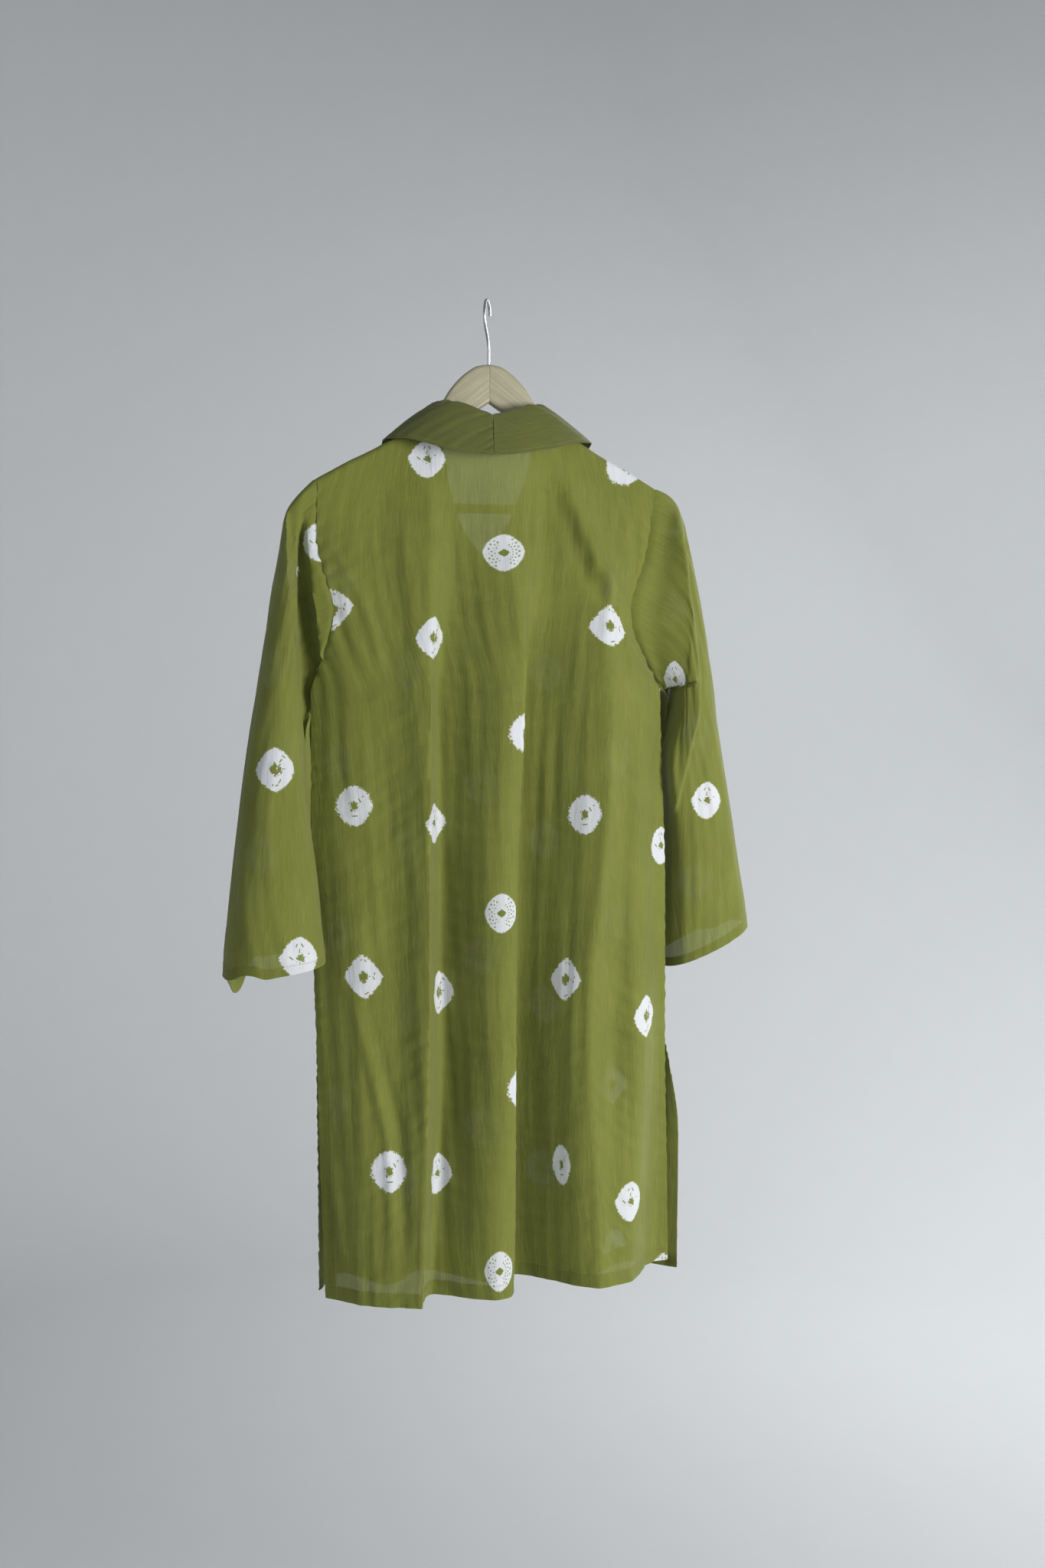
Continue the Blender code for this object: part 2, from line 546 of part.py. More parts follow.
# ---------------------------------------------------------------- hanger
def wood_ring(x, top, underside):
    """One upright section of an arm, a rectangle with rounded corners."""
    half = HANGER_THICK / 2
    edge = min(WOOD_EDGE, (top - underside) / 2 - 0.2)
    ring = []
    for corner, (y, z) in enumerate(((half - edge, top - edge), (edge - half, top - edge),
                                     (edge - half, underside + edge), (half - edge, underside + edge))):
        for step in range(3):
            angle = math.radians(90 * corner + 45 * step)
            ring.append((x, y + edge * math.cos(angle), z + edge * math.sin(angle)))
    return ring


def arm(sign):
    """One half of the hanger, from the centre joint to the end under the sleeve's head."""
    return loft([wood_ring(HANGER_X + sign * out, top, underside) for out, top, underside in WOOD])


def bar():
    """The trouser bar, cut on a slant where it meets the arms' undersides."""
    turn = np.linspace(0, 2 * math.pi, 12, endpoint=False)
    y, z = BAR_RADIUS * np.cos(turn), BAR_Z + BAR_RADIUS * np.sin(turn)
    table = np.array(WOOD)[::-1]
    outer = np.array([through(table[:, 2], table[:, 0], h)[0] for h in z]) - 0.6
    rings = [np.column_stack([HANGER_X + sign * outer, y, z]) for sign in (-1, 1)]
    return loft(rings)


def hook_path():
    """The wire's centre line: a stem, an S-bend to one side and most of a circle over the rail."""
    radius = HOOK_RADIUS + WIRE_RADIUS
    centre_z = WIRE_RADIUS - radius
    flat = [(0.0, STEM_FOOT), (0.0, -70.0), (0.0, STEM_TOP - 4)]
    for step in range(9):
        t = step / 8
        side = -radius * (3 * t * t * (1 - t) + t ** 3)
        height = ((1 - t) ** 3 * STEM_TOP + 3 * t * (1 - t) ** 2 * (STEM_TOP + 14)
                  + 3 * t * t * (1 - t) * (centre_z - 14) + t ** 3 * centre_z)
        flat.append((side, height))
    for step in range(1, 15):
        angle = math.pi - step / 14 * (math.pi - HOOK_TIP)
        flat.append((radius * math.cos(angle), centre_z + radius * math.sin(angle)))
    path = []
    for side, height in flat:
        lean = HANGER_X * min(1.0, max(0.0, (height - centre_z) / (STEM_TOP - centre_z)))
        path.append((side * math.sin(HOOK_TURN) + lean, side * math.cos(HOOK_TURN), height))
    return path


def material(name, colour, roughness, metallic=0.0):
    made = bpy.data.materials.new(name)
    made.use_nodes = True
    shader = made.node_tree.nodes["Principled BSDF"]
    shader.inputs["Base Color"].default_value = (*colour, 1.0)
    shader.inputs["Roughness"].default_value = roughness
    shader.inputs["Metallic"].default_value = metallic
    return made


def bore_stem_hole(arms):
    """Cuts the hole for the hook's stem out of both arms."""
    top, foot = -60.0, STEM_FOOT - 0.6
    shape = tube([(HANGER_X, 0, foot), (HANGER_X, 0, top)], WIRE_RADIUS + SEAM_GAP, 12)
    cutter = build("stem_hole", shape, arms[0].data.materials[0])
    cutter.hide_render = True
    cutter.display_type = "WIRE"
    for part in arms:
        cut = part.modifiers.new("stem hole", "BOOLEAN")
        cut.operation = "DIFFERENCE"
        cut.object = cutter


def main():
    for old in list(bpy.data.objects):
        bpy.data.objects.remove(old, do_unlink=True)

    cotton = material("green_cotton", (0.15, 0.17, 0.035), 0.85)
    collar_cotton = material("collar_cotton", (0.13, 0.15, 0.03), 0.85)
    wood = material("pale_wood", (0.44, 0.41, 0.28), 0.55)
    steel = material("steel_wire", (0.5, 0.5, 0.5), 0.3, 1.0)

    back = panel(BACK_FOLDS, BACK_COLUMNS, -1, BACK_NECK, (HEM_BACK, HEM_BACK))
    front = panel(FRONT_FOLDS, FRONT_COLUMNS, 1, FRONT_NECK, FRONT_HEM)
    build("back", wall(back), cotton)
    build("front", wall(front), cotton)
    build("sleeve_left", wall(sleeve(LEFT_SLEEVE, -1, back, front, 0), ring=True), cotton)
    build("sleeve_right", wall(sleeve(RIGHT_SLEEVE, 1, back, front, -1), ring=True), cotton)
    build("collar_left", wall(collar(COLLAR_LEFT, -1, neck_edge(front, back, -1))), collar_cotton)
    build("collar_right", wall(collar(COLLAR_RIGHT, 1, neck_edge(front, back, 1))), collar_cotton)

    arms = [build("hanger_arm_left", arm(-1), wood), build("hanger_arm_right", arm(1), wood)]
    bore_stem_hole(arms)
    build("hanger_bar", bar(), wood)
    build("hanger_hook", tube(hook_path(), WIRE_RADIUS, 8), steel)


main()
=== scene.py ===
"""Looks of the kurta tunic on its clothes hanger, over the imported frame.

The cloth follows the same tables and functions as its solids, in millimetres, drawn finer, thinner
and with the small creases, puckers, hems, stitches and tie-dye dots that the solids leave out.
"""
from math import cos, pi, radians, sin, sqrt

import bpy
import numpy as np
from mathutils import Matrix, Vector


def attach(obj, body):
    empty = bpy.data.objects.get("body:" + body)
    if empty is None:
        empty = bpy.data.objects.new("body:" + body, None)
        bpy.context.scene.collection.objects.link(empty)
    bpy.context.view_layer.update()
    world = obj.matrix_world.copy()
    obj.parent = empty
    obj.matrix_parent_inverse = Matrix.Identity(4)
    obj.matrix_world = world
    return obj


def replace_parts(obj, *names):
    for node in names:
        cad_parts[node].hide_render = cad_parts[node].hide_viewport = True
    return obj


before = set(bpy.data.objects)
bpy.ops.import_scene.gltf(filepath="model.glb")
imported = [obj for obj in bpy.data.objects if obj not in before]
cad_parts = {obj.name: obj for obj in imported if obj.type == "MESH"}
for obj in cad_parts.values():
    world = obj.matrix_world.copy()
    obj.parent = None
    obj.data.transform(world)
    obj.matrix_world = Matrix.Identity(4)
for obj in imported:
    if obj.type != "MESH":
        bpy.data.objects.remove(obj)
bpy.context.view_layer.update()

MM = 0.001
METRE = 1000.0
norm = np.linalg.norm
scene = bpy.context.scene

# ---- driving sizes
WALL = 1.2  # the solids' cloth
CLOTH = 0.5  # the cloth that is shown
SEAM_GAP = 0.3  # between pieces that are sewn together
SEAT_GAP = 0.4  # between the cloth and the wood that carries it
HANGER_X = 1.5  # the hanger's centre joint
HANGER_THICK = 12.0
WOOD_EDGE = 4.5  # rounding of the wood's long edges
NECK_HALF = 72.0  # from the hanger's centre to where the shoulder seams meet the neck
HEM_BACK = -1037.0
ARMPIT = -415.0
SLIT_TOP = -790.0
SEAM_HALF = (WALL + SEAM_GAP) / 2
BEND = WOOD_EDGE + SEAT_GAP + WALL / 2  # radius of the cloth's bend over the wood's edges
BEND_CENTRE = HANGER_THICK / 2 - WOOD_EDGE
BEND_STEPS = (62.0, 33.0)  # degrees from upright, towards the shoulder seam
CLOTH_LIFT = 1.6  # from the sloping wood up to the cloth's middle

# ---- tables of the form
# Heights that the fold tables are given at: top, shoulder blade, lower blade, armpit, waist, slit,
# thigh and hem.
LEVELS = (-140.0, -215.0, -310.0, ARMPIT, -600.0, SLIT_TOP, -905.0, HEM_BACK)

# Each panel's fold lines from its left side to its right one, as x and then y at each level. The
# back's ridges stand out to -Y and the front's to +Y. Below are the mesh columns between the lines.
BACK_FOLDS = (
    ((-183, -184, -168, -189, -190.5, -186, -183, -178),  # left side
     (-7, -9, -18, -2, -14, -24, -26, -30)),
    ((-156, -156, -148, -158, -159, -138, -129, -124),  # left drag
     (-8, -12, -24, -28, -42, -66, -80, -89)),
    ((-108, -112, -112, -117, -110, -104, -104, -104),  # left dip
     (-8, -13, -26, -31, -36, -52, -72, -88)),
    ((-70.5, -67, -70, -72, -76, -79, -83, -88),  # left ridge
     (-8, -22, -38, -48, -60, -74, -80, -84)),
    ((-42, -41, -36, -33, -31, -31, -36, -47),  # left valley
     (-20, -18, -24, -24, -26, -34, -40, -50)),
    ((10, 14, 12, 8, -6, -10, -12, -14),  # centre ridge
     (-27, -25, -42, -54, -62, -70, -76, -81)),
    ((34, 34, 30, 26, 15, 11, 9, 6),  # centre lip
     (-25, -24, -41, -54, -60, -70, -75, -78)),
    ((54, 60, 59, 58, 52, 48, 46, 45),  # centre valley
     (-19, -17, -22, -18, -16, -17, -18, -19)),
    ((73.5, 92, 126, 122, 110, 93, 94, 101),  # right ridge
     (-8, -22, -36, -50, -58, -64, -72, -80)),
    ((110, 124, 139, 146, 133, 124, 120, 120),  # right dip
     (-8, -14, -31, -38, -44, -50, -62, -78)),
    ((142, 150, 146, 163, 156, 151, 145, 139),  # right drag
     (-8, -12, -26, -32, -44, -58, -65, -70)),
    ((166, 168, 152, 181, 186, 184, 180, 176),  # right tuck
     (-8, -10, -21, -14, -16, -22, -24, -25)),
    ((187, 179, 157, 194, 198, 196, 197, 197),  # right side
     (-7, -9, -18, -2, -8, -14, -17, -20)),
)
BACK_COLUMNS = (4, 4, 3, 4, 4, 3, 4, 5, 3, 3, 3, 2)
FRONT_FOLDS = (
    ((-183, -184, -168, -189, -190.5, -186, -183, -181),  # left side
     (7, 9, 18, -2, -14, -24, -12, -2)),
    ((-150, -150, -138, -146, -150, -150, -149, -148),  # left ridge
     (8, 12, 26, 32, 36, 42, 48, 55)),
    ((-110, -108, -104, -108, -106, -106, -105, -104),  # left valley
     (8, 11, 16, 14, 16, 16, 18, 22)),
    ((-70.5, -66, -62, -62, -60, -58, -57, -56),  # left breast
     (8, 22, 34, 44, 52, 58, 62, 66)),
    ((4, 4, 6, 8, 10, 12, 13, 14),  # centre fall
     (28, 27, 22, 20, 18, 20, 22, 24)),
    ((73.5, 64, 62, 60, 60, 62, 64, 66),  # right breast
     (8, 22, 34, 46, 54, 62, 67, 72)),
    ((115, 112, 106, 112, 112, 114, 116, 118),  # right valley
     (8, 11, 16, 16, 18, 20, 23, 26)),
    ((155, 150, 134, 155, 160, 164, 172, 178),  # right ridge
     (8, 11, 24, 28, 34, 44, 54, 60)),
    ((187, 179, 157, 194, 198, 196, 225, 227),  # right side
     (7, 9, 18, -2, -8, -14, 20, 30)),
)
FRONT_COLUMNS = (4, 4, 4, 7, 7, 4, 4, 4)
FRONT_HEM = (-1040.0, -1052.0, -1060.0, -1064.0, -1067.0)  # evenly spaced, left to right

# The panels' neck edges from the left neck point to the right one: mesh column, x, y and z.
FRONT_NECK = np.array((
    (0, -70.5, 0.75, -129.6), (1, -69.1, 10.8, -132.3), (2, -65.7, 15.2, -135.5), (3, -54, 20, -150),
    (4, -42, 22, -167), (5, -35, 24, -203), (6, -19, 27, -244), (7, 4, 28, -268), (8, 25, 27, -244),
    (9, 43, 24, -203), (10, 54.5, 22, -167), (11, 62, 20, -150), (12, 68.7, 15.2, -135.5),
    (13, 72.1, 10.8, -132.3), (14, 73.5, 0.75, -129.6),
))
BACK_NECK = np.array((
    (0, -70.5, -0.75, -129.6), (1, -69.1, -10.8, -132.3), (2, -65.7, -15.2, -135.5),
    (3, -57.5, -18.5, -138.6), (4, -46, -21, -142.8), (6, -16, -24, -150.2), (7, 0, -24.4, -151.2),
    (8, 12, -24.2, -151), (11, 34, -22.5, -148), (15, 54, -19.5, -141), (17, 63, -17.3, -137.3),
    (18, 68.7, -15.2, -135.5), (19, 72.1, -10.8, -132.3), (20, 73.5, -0.75, -129.6),
))
CENTRE_BACK = 7  # the back's mesh column that its centre line is on

# Rows of the panels' meshes between the shoulder's bend, 1, and the armpit, 0, and then below it.
YOKE_ROWS = (1.0, 0.95, 0.88, 0.78, 0.66, 0.53, 0.4, 0.28, 0.17, 0.08, 0.03, 0.0)
BODY_ROWS = (-455.0, -500.0, -550.0, -600.0, -655.0, -710.0, -755.0, SLIT_TOP, -830.0, -880.0,
             -935.0, -990.0, HEM_BACK)

# The hanger's outline: distance from its centre, top and underside.
WOOD = np.array((
    (0.15, -67.5, -109), (12, -69.5, -117), (24, -76.5, -125), (34, -85.5, -131.5), (43, -96.5, -137.5),
    (51, -109.5, -143), (60, -120, -149), (72, -131.2, -157), (85, -139.5, -165), (102, -150, -175),
    (126, -164.5, -189), (150, -176.5, -203), (172, -189, -216.5), (186, -197.2, -225),
    (200, -211.5, -233), (209, -224, -238.5), (213.5, -231.5, -240),
))
BAR_Z = -222.0
BAR_RADIUS = 5.0
WIRE_RADIUS = 1.5
HOOK_RADIUS = 19.0  # inside
HOOK_TURN = radians(22.5)  # the hook's plane, turned from the YZ plane about Z
HOOK_TIP = radians(22.0)  # where the far end stops, above level
STEM_FOOT = -90.0
STEM_TOP = -51.0

# Sleeves, from the shoulder to the cuff. "out" and "in" are the distances from X = 0 of the outer
# and the underarm fold, with their heights. "mid" is their Y, and "back" and "front" are the
# section's depths from it. "lean" moves the front half towards the body, and "drop" lets it hang
# down beside the outer fold.
# out_x, out_z, in_x, in_z, mid, back, front, lean, drop
LEFT_SLEEVE = (
    (184, -195, 189, -415, -1, 14, 14, 0, 0),
    (199.5, -209.5, 194.5, -420, 0, 13, 13, 0, 0),
    (211.5, -225, 199, -426, 0, 19, 19, 0, 0),
    (217, -238, 200.5, -434, -5, 27, 28, 4, 0),
    (220.5, -256, 200.5, -446, -10, 31, 36, 10, 0),
    (225.5, -285, 199.5, -464, -13, 34, 42, 17, 0),
    (236, -350, 198.5, -492, -18, 37, 48, 20, 0),
    (248.5, -425, 197.5, -525, -25, 40, 54, 15, 0),
    (260, -497, 193.5, -563, -32, 43, 58, 5, 2),
    (269, -567, 189, -605, -39, 45, 62, -7, 8),
    (277, -632, 186, -645, -46, 47, 64, -10, 18),
    (281, -668, 184, -667, -50, 48, 65, -11, 26),
    (283, -699, 182.5, -686, -53, 49, 66, -13, 32),
)
RIGHT_SLEEVE = (
    (188, -195, 194, -415, 1, 14, 14, 0, 0),
    (205, -203, 200, -419, 0, 13, 13, 0, 0),
    (214.5, -215, 206, -423, 0, 19, 19, 0, 0),
    (221, -230, 211, -430, 3, 26, 26, 1, 0),
    (225, -245, 214, -441, 5, 30, 30, 3, 0),
    (231, -268, 214, -458, 8, 34, 34, 5, 0),
    (245, -325, 212, -489, 14, 38, 38, 6, 0),
    (259, -405, 210, -527, 20, 41, 41, 5, 0),
    (272, -480, 208, -571, 26, 43, 43, 4, 0),
    (286, -550, 207, -620, 31, 45, 45, 3, 0),
    (298, -615, 207, -670, 35, 47, 47, 2, 3),
    (305, -652, 208, -700, 37, 48, 48, 2, 5),
    (309, -682, 209, -726, 38, 49, 49, 2, 6),
)
SLEEVE_BLUNT = 2.5  # power of the sections' superellipse
FLAP_SHARE = 0.36  # how much of a cuff's front half hangs down, from the outer fold
FLAP_LIFT = -0.2  # how far the back half rises there, as a share of "drop"
HEAD_EASE = 1.12  # how much wider than the panels' bend the sleeve's head is over the wood
WOOD_RINGS = 4  # rings that reach over the wood

# Collar, from its front end round to the centre back: the neck edges' mesh columns from the front
# end, the fold along the collar's top as x, y, z and the free edge of its leaf as x, y, z.
COLLAR_LEFT = np.array((
    (0, -42.5, 26, -160, -84, 33, -214), (1, -48.5, 23, -136, -94, 29, -200),
    (2, -54, 17.5, -121, -104, 22, -179), (3, -57, 9, -114, -112, 13, -158.5),
    (4, -57.5, -1, -111.5, -113, -2, -151.8), (5, -55, -11, -111, -106, -13, -151.3),
    (6, -50, -16.5, -111.2, -94, -22, -152), (7, -42.5, -20.5, -112, -78, -30, -156),
    (8, -33, -23.5, -114, -60, -36.5, -161.5), (9, -22, -26, -118, -42, -41.5, -166),
    (10, -11, -27.5, -122.5, -23, -44.5, -168.5), (11, -1, -28.5, -125.5, -4, -46, -169.5),
))
COLLAR_RIGHT = np.array((
    (0, 55.5, 26, -160, 96, 33, -212), (1, 58.5, 23, -136, 104, 29, -198),
    (2, 60, 17.5, -122, 111, 22, -176), (3, 61, 9, -114, 115.5, 12, -158),
    (4, 61, -1, -111.5, 116.5, -2, -148.5), (5, 58.5, -11, -111, 107.5, -13, -148.8),
    (6, 53.5, -16.5, -111.3, 94, -22, -151), (7, 48.5, -19, -111.8, 84, -27.5, -153.8),
    (9, 38, -22, -113.8, 66, -34.5, -158.8), (11, 27.5, -24, -117, 48, -39.5, -162.6),
    (13, 17.5, -25.8, -120.5, 31, -43, -165.6), (15, 7.5, -27.6, -124, 12, -45.5, -168.4),
    (17, -1, -28.5, -125.5, -4, -46, -169.5),
))
COLLAR_START = 4  # front panel's mesh columns from the neck point to the collar's front end
ROLL_HALF = 1.6  # half the distance between the collar's two layers at its roll
COLLAR_SEAM = 0.7  # between the two halves at the centre back
COLLAR_GAP = 0.6  # from the panels' neck edge to the collar's
FULL_STAND = 14.0  # the collar's roll has its full size where it stands this high

# ---- tables of the fine forms
# Faces of the back's folds that are made steeper: mesh column, and how far it moves sideways. Then
# the heights that this grows between, and dips that are partly filled: their first and last column
# and the share.
STEEPER = (
    (12, -8), (13, -14), (14, -20), (15, -25), (16, -21), (17, -15), (18, -8), (19, -2), (22, 1),
    (23, -4), (24, -12), (25, -19), (26, -23), (27, -20), (28, -16), (29, -11), (30, -6),
)
STEEPER_FROM, STEEPER_TO = -260.0, -410.0
FLATTER = ((0, 11, 0.6), (31, 37, 0.5))

# Smooth heaps that a sleeve's cloth is pushed into: the sleeve, the place, how far the heap reaches
# across and down, and its push to the right, away from the back and up.
SLEEVE_PUSHES = (
    ("sleeve_left", -193, 6, -505, 17, 62, 11, 2, 0),
    ("sleeve_left", -199, 2, -434, 15, 20, 12, 2, 0),
    ("sleeve_left", -184, 4, -399, 6, 9, 3.5, 0, 0),
    ("sleeve_right", 211, 30, -480, 22, 50, -17, 4, 0),
    ("sleeve_right", 211, 20, -437, 15, 20, -10, 3, 0),
    ("sleeve_right", 213, -2, -500, 15, 48, -9, -14, 0),
)

# The fold down the back of the right sleeve. At each height: the x where the strip beside the crest
# starts, the crest's x, and how deep the cloth falls in before the strip.
ARM_FOLD = np.array((
    (-215, 205, 212.5, 0), (-262, 209, 216.5, 0), (-322, 212, 221, 0), (-366, 213, 227, 0),
    (-405, 213.5, 231.5, 0), (-412, 215, 232, 22), (-442, 212, 232, 22), (-472, 206, 224, 6),
    (-519, 198, 213, 0), (-560, 196, 206, 0),
))
ARM_CREST = 5.5  # how far the crest stands out
ARM_TOP, ARM_FOOT = -200.0, -575.0  # the heights that the fold is between
OVERHANG = (-406.0, 0.26)  # the height at the crest of the edge that hangs over, and its slope
LIP = 6.0  # how far that edge stands out
# The folds at the head of the left sleeve. At each height: the x of its outer fold's crest, the x
# where the hollow beside it starts and ends, and how deep the hollow is.
HEAD_FOLD = np.array((
    (-215, -215, -198.5, -195, 0), (-240, -216.5, -201, -195.5, 8), (-265, -217.5, -203.5, -195.5, 14),
    (-320, -216.5, -205, -191, 24), (-366, -212.7, -206, -185, 26), (-400, -210, -206, -181, 24),
    (-430, -207, -203, -177, 20), (-474, -201, -197, -173, 10), (-530, -194, -190, -168, 0),
))
HEAD_CREST = 3.0
HEAD_TOP, HEAD_FOOT = -225.0, -540.0
HEAD_STEP = 14.0  # how far the cloth beside the outer fold lies back

# Creases: half width and how far it stands out (in, if below 0), then its course as x, z.
BACK_CREASES = (
    (7, 3.2, (71, -174), (92, -224), (114, -281), (142, -319), (157, -342)),  # right shoulder drag
    (8, -2.4, (60, -190), (80, -236), (101, -292), (130, -334), (150, -360)),  # under the drag
    (9, 3, (139, -377), (125, -496), (114, -593), (96, -701), (93, -870)),  # right long fold
    (5.5, 3.4, (-153, -723), (-120, -866), (-113, -1014)),  # left hip
    (5.5, -2.6, (-141, -715), (-108, -860), (-102, -1000)),  # beside left hip
    (2.4, 1.7, (-102, -196), (-96, -295), (-89, -394), (-82, -510), (-78, -589)),  # left blade, outer
    (2.4, 1.6, (-96, -190), (-90, -290), (-83, -390), (-76, -505), (-73, -590)),  # left blade, inner
    (4, 2, (-178, -867), (-158, -1016)),  # left hem
    (6, 1.8, (-172, -262), (-150, -300), (-128, -352), (-118, -420)),  # left armhole drag
    (5, -1.3, (-165, -470), (-150, -560), (-146, -660)),  # left waist
    (1.6, 0.7, (40, -768), (100, -771), (190, -777)),  # ironed fold 1
    (1.6, 0.7, (-30, -884), (60, -890), (190, -901)),  # ironed fold 2
    (1.5, 0.5, (40, -920), (176, -931)),  # ironed fold 3
    (1.5, 0.6, (-60, -953), (7, -957), (176, -972)),  # ironed fold 4
)
FRONT_CREASES = (
    (7, 2.6, (-74, -180), (-96, -230), (-120, -290), (-150, -345)),  # left shoulder drag
    (7, 2.6, (78, -180), (100, -236), (124, -296), (150, -350)),  # right shoulder drag
    (7, 2.4, (-120, -420), (-128, -560), (-132, -720), (-126, -900)),  # left long fold
    (7, 2.4, (128, -430), (134, -580), (140, -760), (146, -960)),  # right long fold
    (5, 2, (4, -285), (8, -380), (14, -520), (22, -700)),  # below the neck
    (5, -1.6, (-12, -290), (-10, -390), (-4, -520)),  # beside the neck
)
# Small waves of the cloth: height and wavelengths. Wrinkles have them across and along, and then the
# number of their waves.
PANEL_WRINKLES = (0.55, (13, 42), (220, 700), 22)
CROSS_WRINKLES = (0.28, (60, 160), (14, 40), 10)
SLEEVE_WRINKLES = (0.5, (14, 45), (160, 500), 22)
COLLAR_WRINKLES = (0.25, (9, 26), (60, 200), 12)
SIDE_PUCKER = (0.75, (8, 19))
HEM_RIPPLE = (0.35, (9, 22))
ARMHOLE_PUCKER = (0.9, (9, 20))
CUFF_RIPPLE = (0.3, (9, 20))
COLLAR_RIPPLE = (0.35, (7, 17))
SEAM_GROOVE, GROOVE_HALF = 1.5, 2.5
TUCK = 1.8  # how far a sleeve's first ring reaches on under the panels' edges
PRINT_RISE = 3.0  # how far a dot moves up for each mm that the right sleeve's cloth falls in
PANEL_HEM, SLIT_HEM, CUFF_HEM = 16, 13, 12  # widths of what is turned in
STITCH, STITCH_PITCH, THREAD_RADIUS = 2.3, 3.1, 0.2
YARN = 0.45  # two yarns' width
BACK_CELL, FRONT_CELL, SLEEVE_CELL, COLLAR_CELL = 3.6, 4.4, 3.4, 2.2  # cells of the fine grids
COLLAR_CLOTH, HEM_CLOTH = 0.9, 0.35
HEM_INSIDE = 0.75  # from the cloth's middle in to the turned-in layer's
SHARP = radians(55.0)  # edges that turn more than this are drawn sharp
CLEAR, CLEAR_OVER = -205.0, 70.0  # below this height a panel comes clear of the wood, and over what
LEAF_STITCH = 5.0  # from the collar leaf's edge to its stitches


# ---- curves
def hermite(t, h, start, end, leaving, arriving):
    """The cubic from start to end over a length h, at the share t, with its slopes at both ends."""
    return ((1 + 2 * t) * (1 - t) ** 2 * start + t * (1 - t) ** 2 * h * leaving
            + t * t * (3 - 2 * t) * end + t * t * (t - 1) * h * arriving)


def through(places, values, at):
    """Smooth curve through values given at rising places, without overshoot."""
    places, values = np.asarray(places, float), np.asarray(values, float)
    at = np.atleast_1d(np.asarray(at, float))
    step = np.diff(places)
    flat = values.reshape(len(places), -1)
    slope = np.diff(flat, axis=0) / step[:, None]
    before, after = slope[:-1], slope[1:]
    same = before * after > 0
    near, far = (2 * step[1:] + step[:-1])[:, None], (step[1:] + 2 * step[:-1])[:, None]
    total = near / np.where(same, before, 1) + far / np.where(same, after, 1)
    inner = np.where(same, (near + far) / np.where(same, total, 1), 0)
    tangent = np.vstack([slope[:1], inner, slope[-1:]])
    k = np.clip(np.searchsorted(places, at, side="right") - 1, 0, len(step) - 1)
    t = ((at - places[k]) / step[k])[:, None]
    curve = hermite(t, step[k][:, None], flat[k], flat[k + 1], tangent[k], tangent[k + 1])
    return curve.reshape((len(at),) + values.shape[1:])


def bend_through(points, counts):
    """Round curve through points, with counts[i] steps between point i and the next."""
    points = np.asarray(points, float)
    length = np.sqrt(norm(np.diff(points, axis=0), axis=1) + 1e-6)
    slope = np.diff(points, axis=0) / length[:, None]
    share = (length[:-1] / (length[:-1] + length[1:]))[:, None]
    tangent = np.vstack([slope[:1], slope[:-1] * (1 - share) + slope[1:] * share, slope[-1:]])
    curve = []
    for i, count in enumerate(counts):
        for j in range(count + (i == len(counts) - 1)):
            curve.append(hermite(j / count, length[i], *points[i:i + 2], *tangent[i:i + 2]))
    return np.array(curve)


def wood_line(out, column):
    """Height of the hanger's top (column 1) or underside (column 2) at a distance from its centre."""
    return through(WOOD[:, 0], WOOD[:, column], np.clip(out, WOOD[0, 0], WOOD[-1, 0]))


def ramp(value, width):
    """0 up to 0, rising evenly to 1 at a width."""
    return np.clip(value / width, 0, 1)


def nearest(values, wanted):
    return int(np.argmin(np.abs(values - wanted)))


def unit_rows(vectors):
    return vectors / norm(vectors, axis=1, keepdims=True)


# ---- panels
def fold_places(folds, level):
    """The fold lines' x and y at one level, a row a fold line.

    The panel's own edges are three curves each: the armhole, the side seam and the slit.
    """
    rising = [-z for z in LEVELS]
    breaks = (0, LEVELS.index(ARMPIT), LEVELS.index(SLIT_TOP), len(LEVELS) - 1)
    first = next(i for i in (2, 1, 0) if level <= LEVELS[breaks[i]])
    places = []
    for fold in folds:
        at_edge = fold in (folds[0], folds[-1])
        span = slice(breaks[first], breaks[first + 1] + 1) if at_edge else slice(None)
        places.append([through(rising[span], line[span], -level)[0] for line in fold])
    return np.array(places)


def top_edge(x, neckline):
    """A panel's upper edge, the columns of it that are on the neckline and the one before them."""
    out = np.maximum(np.abs(x - HANGER_X), NECK_HALF)
    edge = np.column_stack([x, np.zeros_like(x), wood_line(out, 1) + CLOTH_LIFT])
    neck = np.abs(x - HANGER_X) < NECK_HALF - 0.01
    first = int(np.argmax(neck)) - 1
    neck_points = through(neckline[:, 0], neckline[:, 1:], range(1, int(neckline[-1, 0])))
    edge[first + 1:first + 1 + len(neck_points)] = neck_points
    return edge, neck, first


